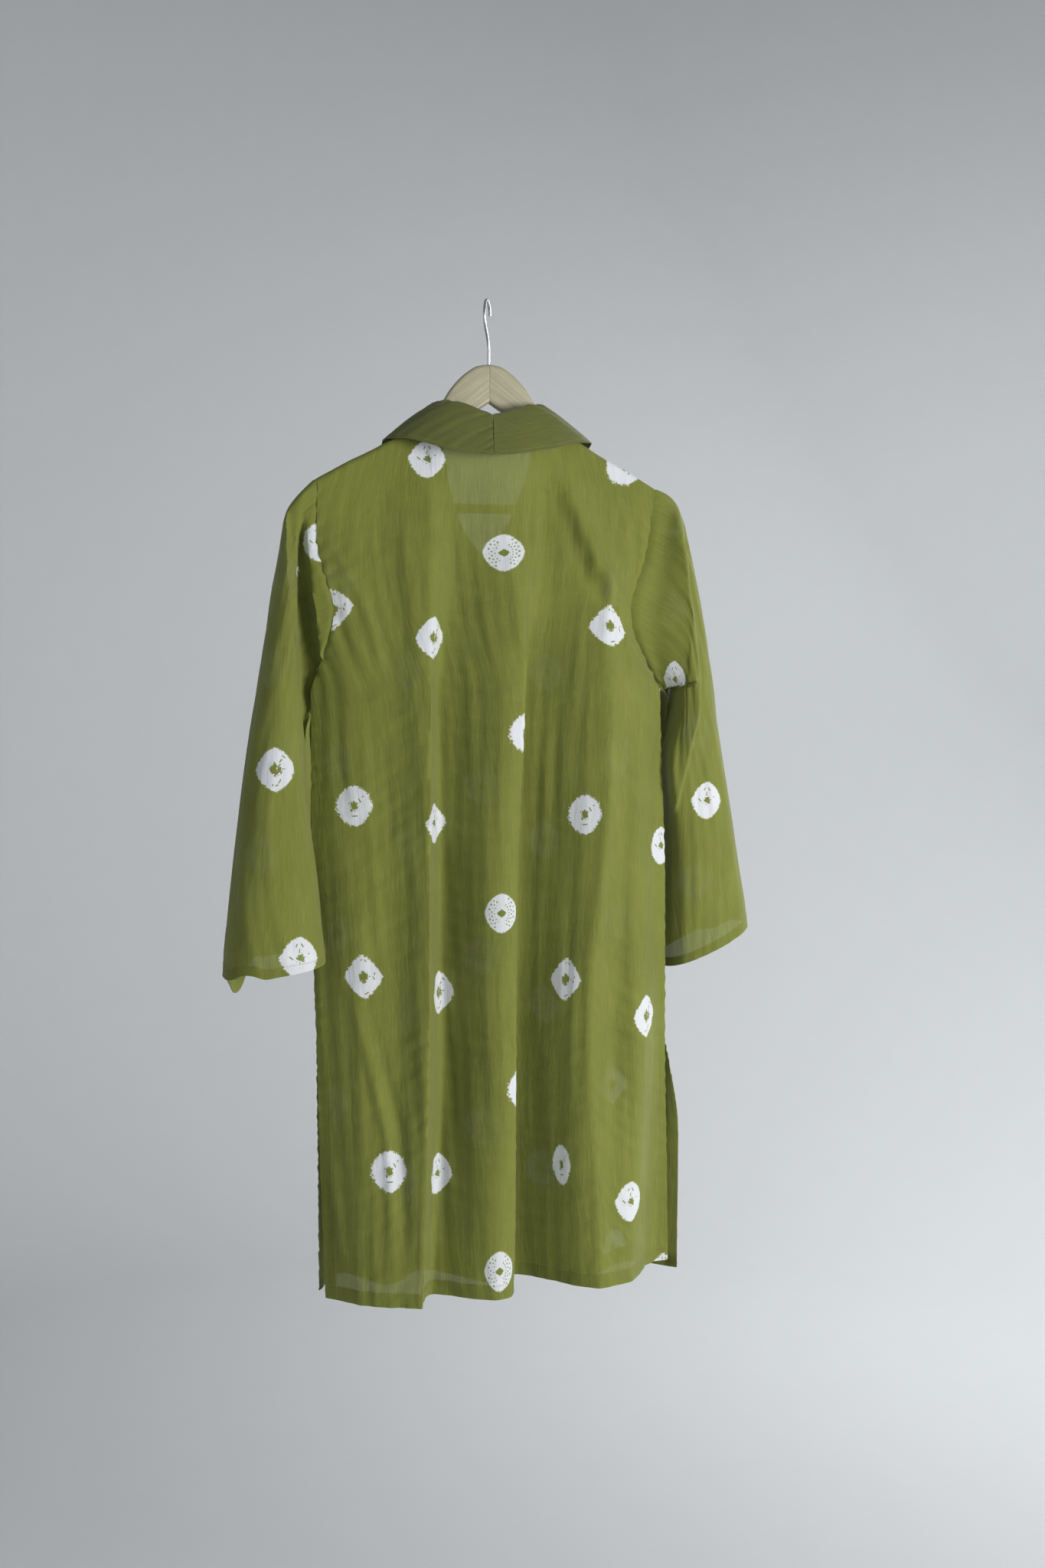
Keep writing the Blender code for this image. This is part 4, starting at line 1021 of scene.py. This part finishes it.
def voile(name, dots, sheer=0.26, glow=0.3, tone=1.0):
    """Dyed cotton voile: slub yarns, a plain weave, a little light through it, and any dots."""
    n = Nodes(name)
    u, v = (axis * METRE for axis in n.split(n.node("UVMap", uv_map="flat"))[:2])
    slub = n.noise(n.vector(u, v * 0.035, 3.0), 1.0, 3.0, 0.6)
    weft = n.noise(n.vector(u * 0.06, v, 9.0), 1.1, 2.0)
    cloud = n.noise(n.vector(u, v, 0.0), 0.014, 3.0)
    thick = slub * 0.72 + weft * 0.28
    colour = n.mix(n.step(thick, 0.36, 0.72), toned(DEEP_GREEN, tone), toned(GREEN, tone))
    colour = n.mix(n.step(slub, 0.58, 0.78) * 0.16, colour, toned(LIGHT_GREEN, tone))
    colour = n.mix(n.step(cloud, 0.35, 0.7) * 0.3, colour, toned(GREEN, tone * 1.12))
    if dots:
        white, rim = dot_mask(n)
        colour = n.mix(rim * 0.55, colour, RIM)
        colour = n.mix(white, colour, n.mix(n.step(thick, 0.4, 0.7) * 0.35, WHITE, DULL_WHITE))
    warp, woof = (n.math("SINE", axis * (2 * pi / YARN)) for axis in (u, v))
    normal = n.bump(thick, 0.25, 0.0005, Normal=n.bump(warp * woof, 0.12, 0.00008))
    crush = n.noise(n.vector(u, v * 0.12, 5.0), 0.11, 4.0, 0.6)
    normal = n.bump(crush, 0.5, 0.003, Normal=normal)
    material = n.finish(Base_Color=colour, Roughness=0.82, Specular_IOR_Level=0.35, Sheen_Weight=0.2,
                        Sheen_Roughness=0.5, Normal=normal)
    lit = n.node("BsdfTranslucent", {"Color": colour, "Normal": normal})
    cloth = n.node("MixShader", {0: glow, 1: Value(n, n.shader.outputs[0]), 2: lit})
    cloth = n.node("MixShader", {0: sheer, 1: cloth, 2: n.node("BsdfTransparent")})
    n.join(cloth, n.tree.nodes["Material Output"].inputs["Surface"])
    return material


GRAIN_FALL = radians(38.0)  # the arms' grain, below level


def pale_wood(name, sign):
    """Pale lacquered wood. Its grain falls away from the centre along the arm, by sign; 0 is level."""
    n = Nodes(name)
    turned = n.node("VectorRotate", {"Vector": n.place(), "Angle": -sign * GRAIN_FALL},
                    rotation_type="Y_AXIS")
    long, deep, high = (axis * METRE for axis in n.split(turned))
    stretched = n.vector(long * 0.035, deep * 0.5, high)
    rings = n.math("SINE", n.fused(n.noise(stretched, 0.11, 3.0), 26.0, high * 0.9))
    pores = n.noise(n.vector(long * 0.05, deep, high), 1.6, 3.0, 0.6)
    tone = n.noise(stretched, 0.03, 2.0)
    colour = n.mix(n.step(rings, -0.9, 1.0), (0.225, 0.205, 0.13), (0.275, 0.25, 0.163))
    colour = n.mix(n.step(pores, 0.52, 0.7) * 0.5, colour, (0.165, 0.145, 0.083))
    colour = n.mix(n.step(tone, 0.4, 0.65) * 0.3, colour, (0.31, 0.295, 0.21))
    normal = n.bump(rings, 0.08, 0.0002, Normal=n.bump(pores, 0.25, 0.0003))
    return n.finish(Base_Color=colour, Roughness=n.fused(pores, 0.2, 0.38), Coat_Weight=0.2,
                    Coat_Roughness=0.25, Normal=normal)


def plated_wire():
    """Drawn and plated steel wire, finely marked."""
    n = Nodes("plated_wire")
    place = n.place()
    marks = n.noise(place, 900.0, 4.0, 0.6)
    colour = n.mix(n.noise(place, 60.0, 2.0), (0.42, 0.42, 0.43), (0.56, 0.56, 0.57))
    return n.finish(Base_Color=colour, Metallic=1.0, Roughness=n.fused(marks, 0.25, 0.2),
                    Normal=n.bump(marks, 0.1, 0.0001))


def pale_wall():
    n = Nodes("pale_wall")
    colour = n.mix(n.noise(n.place(), 14.0, 3.0), toned(WALL_GREY, 0.97), WALL_GREY)
    return n.finish(Base_Color=colour, Roughness=0.95)


def thread():
    n = Nodes("sewing_thread")
    twist = n.noise(n.place(), 1500.0, 2.0)
    return n.finish(Base_Color=n.mix(twist, (0.13, 0.15, 0.03), (0.22, 0.25, 0.07)), Roughness=0.7,
                    Normal=n.bump(twist, 0.3, 0.0001))


# ---- where the dots are
PLANE_ABOVE = -240.0  # above this a panel's dots are drawn in a plane
FAR = 1e6  # for points that a dot must not reach
SIDE_DEPTH = 6.0  # from a sleeve's middle to where its other side starts
ACROSS = 30.0  # least distance from a dot to the place right across from it
DOT_PITCH = 185.0  # from one dot to the next down a column of the print
# Each dot: form (row of DOTS), x, z, its spot and how wide it is drawn. A sleeve's spot is the side
# that the dot faces, -1 for back and 1 for front. A panel's is how far past x it lies on the cloth.
BACK_DOTS = (
    (0, 11, -270.7, 0, 1), (2, 7, -459, 23, 1), (0, -1, -645.1, 0, 0.78), (2, 7, -826, 17, 1),
    (0, -6.5, -1008.4, 0, 0.7), (3, -70, -173.4, 0, 0.95), (4, -67.2, -360.7, 0, 1),
    (3, -67.1, -553, 0, 1.17), (4, -62, -729.2, 0, 1.03), (3, -65.8, -915.3, 0, 0.9),
    (1, -166.6, -332.2, 0, 1), (2, -148.6, -533.5, 0, 0.9), (1, -142, -707.2, 0, 0.92),
    (2, -118.6, -901.2, 0, 0.9), (1, 126.5, -347, 0, 1.12), (2, 95.2, -546.7, 0, 0.85),
    (1, 74.1, -720.2, 0, 0.8), (2, 66, -913, 0, 0.5), (2, 152, -173, 0, 1), (3, 191, -587, 0, 1),
    (4, 164, -764.3, 0, 1), (3, 140, -953.9, 0, 0.86), (1, 190, -1052, 0, 1),
)
LEFT_SLEEVE_DOTS = (
    (3, -184, -260, -1, 0.8), (4, -235.1, -492.1, -1, 1), (3, -212.7, -677, -1, 1),
    (2, -197, -478, 1, 1), (3, -228, -392, 1, 1), (2, -222, -290, 1, 1), (1, -240, -585, 1, 1),
)
RIGHT_SLEEVE_DOTS = (
    (2, 213, -226, 1, 1), (3, 206, -406, -1, 0.62), (3, 243.9, -539, -1, 0.9), (2, 211, -554, 1, 1),
    (4, 222, -330, 1, 1), (3, 214, -674, 1, 1), (1, 262, -465, 1, 1), (2, 268, -640, 1, 1),
)
# The front's columns: x, and the two forms that take turns down it.
FRONT_COLUMN_DOTS = ((-158, 3, 1), (-80, 2, 4), (0, 0, 2), (78, 4, 3), (156, 1, 2))


def front_dots():
    """The front's print: columns of dots that are staggered by half a pitch, clear of the V."""
    dots = []
    for column, (x, *forms) in enumerate(FRONT_COLUMN_DOTS):
        top = -120 - (column % 2) * DOT_PITCH / 2 - (0 if x else 30)
        for row in range(6):
            z = top - row * DOT_PITCH
            if abs(x) > 90 or z < (-225 if x else -345):
                dots.append((forms[row % 2], x, z, 0, 1.0))
    return dots


def make_panel(name, grid, side, creases, step, dots, seed, materials):
    """A panel, its turned-in hem and slit edges, and the lines that those are sewn along."""
    cloth, inside = materials
    smooth = spread(grid, step)
    form = smooth + normals(smooth) * side * panel_relief(smooth, creases, seed)[..., None]
    u, v = flat_place(form)
    up = normals(form) * side

    def inner(part_name, part):
        return turned_in(f"{name}_{part_name}", part, normals(part) * side, inside)

    low = nearest(v[:, 0] - v[-1, 0], PANEL_HEM)
    parts, lines = [inner("hem", form[low:])], [(form[low], up[low])]
    slit = nearest(form[:, 0, 2], SLIT_TOP)
    for edge, part_name in ((0, "slit_left"), (-1, "slit_right")):
        width = nearest(np.abs(u[-1] - u[-1, edge]), SLIT_HEM)
        parts.append(inner(part_name, form[slit:, :width + 1] if edge == 0 else form[slit:, width:]))
        lines.append((form[slit:, width], up[slit:, width]))
    made = shell(name + "_panel", form, False, cloth, marks=dots)
    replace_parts(made, name)
    return made, parts, lines


def make_sleeve(name, sign, rings, dots, seed, materials):
    """A sleeve, its turned-in cuff and the line that this is sewn along."""
    cloth, inside = materials
    plain = pushed(spread(rings, SLEEVE_CELL, ring=True), name)
    smooth = arm_fold(plain) if sign > 0 else head_fold(plain)
    sunk = np.zeros((len(plain), plain.shape[1] + 1))
    if sign > 0:
        sunk[:, :-1] = PRINT_RISE * np.maximum(smooth[:, :, 1] - plain[:, :, 1], 0)
    out = normals(smooth, True)
    from_middle = smooth - smooth.mean(axis=1, keepdims=True)
    out *= np.sign(np.sum(out * from_middle, axis=(1, 2)))[:, None, None]
    form = smooth + out * sleeve_relief(smooth, seed)[..., None]
    form[0] += TUCK * unit_rows(form[0] - form[1]) - out[0] * TUCK / 2
    v = flat_place(form)[1]
    low = nearest(v[:, 0] - v[-1, 0], CUFF_HEM)
    parts = [turned_in(name + "_hem", form[low:], out[low:], inside, ring=True)]
    made = shell(name + "_cloth", form, True, cloth, marks=dots, sunk=sunk)
    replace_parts(made, name)
    return made, parts, [tuple(np.vstack([grid[low], grid[low, :1]]) for grid in (form, out))]


def make_collar(name, sign, grid, cloth):
    """Half the collar, and the line of stitches round its leaf."""
    smooth = spread(grid, COLLAR_CELL)
    u, v = flat_place(smooth)
    out = normals(smooth) * sign
    free = ramp(u - u[:, :1], 30) * ramp(u[:, -1:] - u, 4)
    relief = ripple(v, 71 + sign, *COLLAR_RIPPLE) * free
    relief += wrinkles(v, u, 75 + sign, *COLLAR_WRINKLES)
    form = smooth + out * (relief * free)[..., None]
    made = shell(name + "_cloth", form, False, cloth, COLLAR_CLOTH, slot="collar_cotton")
    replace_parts(made, name)
    middle = u[len(u) // 2]
    leaf = nearest(middle, middle[-1] - LEAF_STITCH)
    upper = np.sign((out[:, leaf] * (form[:, leaf] - (0, 0, -160))).sum())
    return made, [], [(form[3:-2, leaf], out[3:-2, leaf] * upper)]


def make_tunic():
    dotted = voile("dotted_voile", True)
    thick = voile("plain_voile", False, 0.04, 0.12, 0.42)
    both = (dotted, voile("turned_in_voile", False, 0.2, 0.3, 0.95))
    sewing = thread()
    back = panel(BACK_FOLDS, BACK_COLUMNS, -1, BACK_NECK, (HEM_BACK, HEM_BACK))
    front = panel(FRONT_FOLDS, FRONT_COLUMNS, 1, FRONT_NECK, FRONT_HEM)
    left = sleeve(LEFT_SLEEVE, -1, back[:, 0], front[:, 0])
    right = sleeve(RIGHT_SLEEVE, 1, back[:, -1], front[:, -1])
    made = [
        make_panel("back", steepen(back), -1, BACK_CREASES, BACK_CELL, BACK_DOTS, 11, both),
        make_panel("front", front, 1, FRONT_CREASES, FRONT_CELL, front_dots(), 23, both),
        make_sleeve("sleeve_left", -1, left, LEFT_SLEEVE_DOTS, 41, both),
        make_sleeve("sleeve_right", 1, right, RIGHT_SLEEVE_DOTS, 53, both),
        make_collar("collar_left", -1, collar(COLLAR_LEFT, -1, neck_edge(front, back, -1)), thick),
        make_collar("collar_right", 1, collar(COLLAR_RIGHT, 1, neck_edge(front, back, 1)), thick),
    ]
    made[0][1].append(stitches("stitching", [line for _, _, lines in made for line in lines], sewing))


# ---- the hanger
def make_hanger():
    def part(node, mesh_name, shape, material, slot):
        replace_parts(piece(new_mesh(mesh_name, *shape), material, slot), node)

    out = np.concatenate([np.linspace(0.15, 12, 6), np.linspace(14, 72, 30), np.linspace(76, 186, 28),
                          np.linspace(189, 213.5, 14)])
    heights = list(zip(out, wood_line(out, 1), wood_line(out, 2)))
    for sign, side in ((-1, "left"), (1, "right")):
        rings = [arm_section(HANGER_X + sign * o, top, under) for o, top, under in heights]
        node = "hanger_arm_" + side
        part(node, node + "_wood", loft(rings), pale_wood("pale_wood_" + side, sign), "wood")
    turn = circle(36)
    y, z = BAR_RADIUS * np.cos(turn), BAR_Z + BAR_RADIUS * np.sin(turn)
    half = np.array([through(WOOD[::-1, 2], WOOD[::-1, 0], h)[0] for h in z]) - SEAT_GAP
    rings = [np.column_stack([HANGER_X + share * half, y, z]) for share in np.linspace(-1, 1, 24)]
    part("hanger_bar", "hanger_bar_wood", loft(rings), pale_wood("pale_wood_bar", 0), "wood")
    path = hook_path()
    path = bend_through(path, [3] * (len(path) - 1))
    along = unit_rows(np.gradient(path, axis=0))
    first = unit_rows(np.cross(along, (1.0, 0.0, 0.0)))
    hook = bar(path, first, np.cross(along, first), WIRE_RADIUS, 20)
    part("hanger_hook", "hanger_hook_wire", hook, plated_wire(), "steel")


def arm_section(x, top, underside):
    """One upright section of an arm with well rounded corners."""
    edge = min(WOOD_EDGE, (top - underside) / 2 - 0.2)
    y, high, low = HANGER_THICK / 2 - edge, top - edge, underside + edge
    ring = []
    for corner, (cy, cz) in enumerate(((y, high), (-y, high), (-y, low), (y, low))):
        for step in range(7):
            angle = radians(90 * corner + 15 * step)
            ring.append((x, cy + edge * cos(angle), cz + edge * sin(angle)))
    return ring


def bezier(t, a, b, c, d):
    return (1 - t) ** 3 * a + 3 * t * (1 - t) ** 2 * b + 3 * t * t * (1 - t) * c + t ** 3 * d


def hook_path():
    """The wire's centre line: a stem, an S-bend to one side and most of a circle over the rail."""
    radius = HOOK_RADIUS + WIRE_RADIUS
    centre_z = WIRE_RADIUS - radius
    flat = [(0.0, STEM_FOOT), (0.0, -70.0), (0.0, STEM_TOP - 4)]
    for step in range(9):
        t = step / 8
        height = bezier(t, STEM_TOP, STEM_TOP + 14, centre_z - 14, centre_z)
        flat.append((-radius * bezier(t, 0, 0, 1, 1), height))
    for step in range(1, 15):
        angle = pi - step / 14 * (pi - HOOK_TIP)
        flat.append((radius * cos(angle), centre_z + radius * sin(angle)))
    path = []
    for side, height in flat:
        lean = HANGER_X * min(1.0, max(0.0, (height - centre_z) / (STEM_TOP - centre_z)))
        path.append((side * sin(HOOK_TURN) + lean, side * cos(HOOK_TURN), height))
    return path


# ---- the studio, in metres
WALL_GREY = (0.485, 0.502, 0.515)
FLOOR, FLOOR_REACH, COVE, WALL_TOP = -1.75, 2.0, 1.3, 2.6
ROUND, COVE_STEPS = 64, 12  # the backdrop's sides, and the rings of its curve
# Lights: name, place, aim, size, power and colour.
LIGHTS = (
    ("key", (1.7, -2.0, -0.4), (0, 0, -0.6), 1.1, 98, (1.0, 0.985, 0.96)),
    ("fill", (-1.9, -2.0, 0.3), (0, 0, -0.5), 1.6, 13, (0.95, 0.97, 1.0)),
    ("wall", (1.0, 0.9, 0.0), (2.1, 2.4, -0.8), 1.2, 20, (1.0, 1.0, 1.0)),
    ("front", (2.5, 1.5, 0.3), (0, 0, -0.5), 0.9, 50, (1.0, 1.0, 1.0)),
)
VIEW_TURN = radians(15)  # the camera looks this far to the right of +Y
VIEW_FAR = 1.75  # from the camera to the hanger
VIEW_RIGHT, VIEW_HIGH = 0.03772, -0.38  # the camera's place across its view, and its height
VIEW_TALL = 1.67936  # what the photograph's height takes in at the hanger
VIEW_SHIFT = -0.0813
SKY, SKY_LEVEL = (0.84, 0.86, 0.89, 1.0), 0.3
SENSOR = 36.0


def make_studio():
    """A pale round backdrop, soft lights and the camera."""
    profile = [(0.0, FLOOR), (FLOOR_REACH, FLOOR)]
    for step in range(1, COVE_STEPS + 1):
        a = pi / 2 * step / COVE_STEPS
        profile.append((FLOOR_REACH + COVE * sin(a), FLOOR + COVE * (1 - cos(a))))
    profile += [(FLOOR_REACH + COVE, 0.6), (FLOOR_REACH + COVE, WALL_TOP)]
    turn = circle(ROUND)
    rings = [np.column_stack([r * np.cos(turn), r * np.sin(turn), 0 * turn + z]) for r, z in profile]
    points, faces = loft(rings)
    mesh = new_mesh("backdrop", points, faces[:-2], 1.0)
    mesh.materials.append(pale_wall())
    mesh.shade_smooth()
    scene_object("backdrop", mesh)

    for name, place, aim, size, power, colour in LIGHTS:
        light = bpy.data.lights.new(name, "AREA")
        light.size = size
        light.energy = power
        light.color = colour
        made = scene_object(name, light)
        made.location = place
        made.rotation_euler = Vector(np.subtract(aim, place)).to_track_quat("-Z", "Y").to_euler()
    world = bpy.data.worlds.new("room")
    world.use_nodes = True
    sky = world.node_tree.nodes["Background"].inputs
    sky[0].default_value = SKY
    sky[1].default_value = SKY_LEVEL
    scene.world = world
    scene.view_settings.view_transform = "Standard"

    camera = bpy.data.cameras.new("camera")
    camera.sensor_fit = "AUTO"
    camera.sensor_width = SENSOR
    camera.lens = SENSOR * VIEW_FAR / VIEW_TALL
    camera.shift_y = VIEW_SHIFT
    made = scene_object("camera", camera)
    c, s = cos(VIEW_TURN), sin(VIEW_TURN)
    made.location = (VIEW_RIGHT * c - VIEW_FAR * s, -VIEW_RIGHT * s - VIEW_FAR * c, VIEW_HIGH)
    made.rotation_euler = (pi / 2, 0, -VIEW_TURN)
    scene.camera = made


make_tunic()
make_hanger()
make_studio()
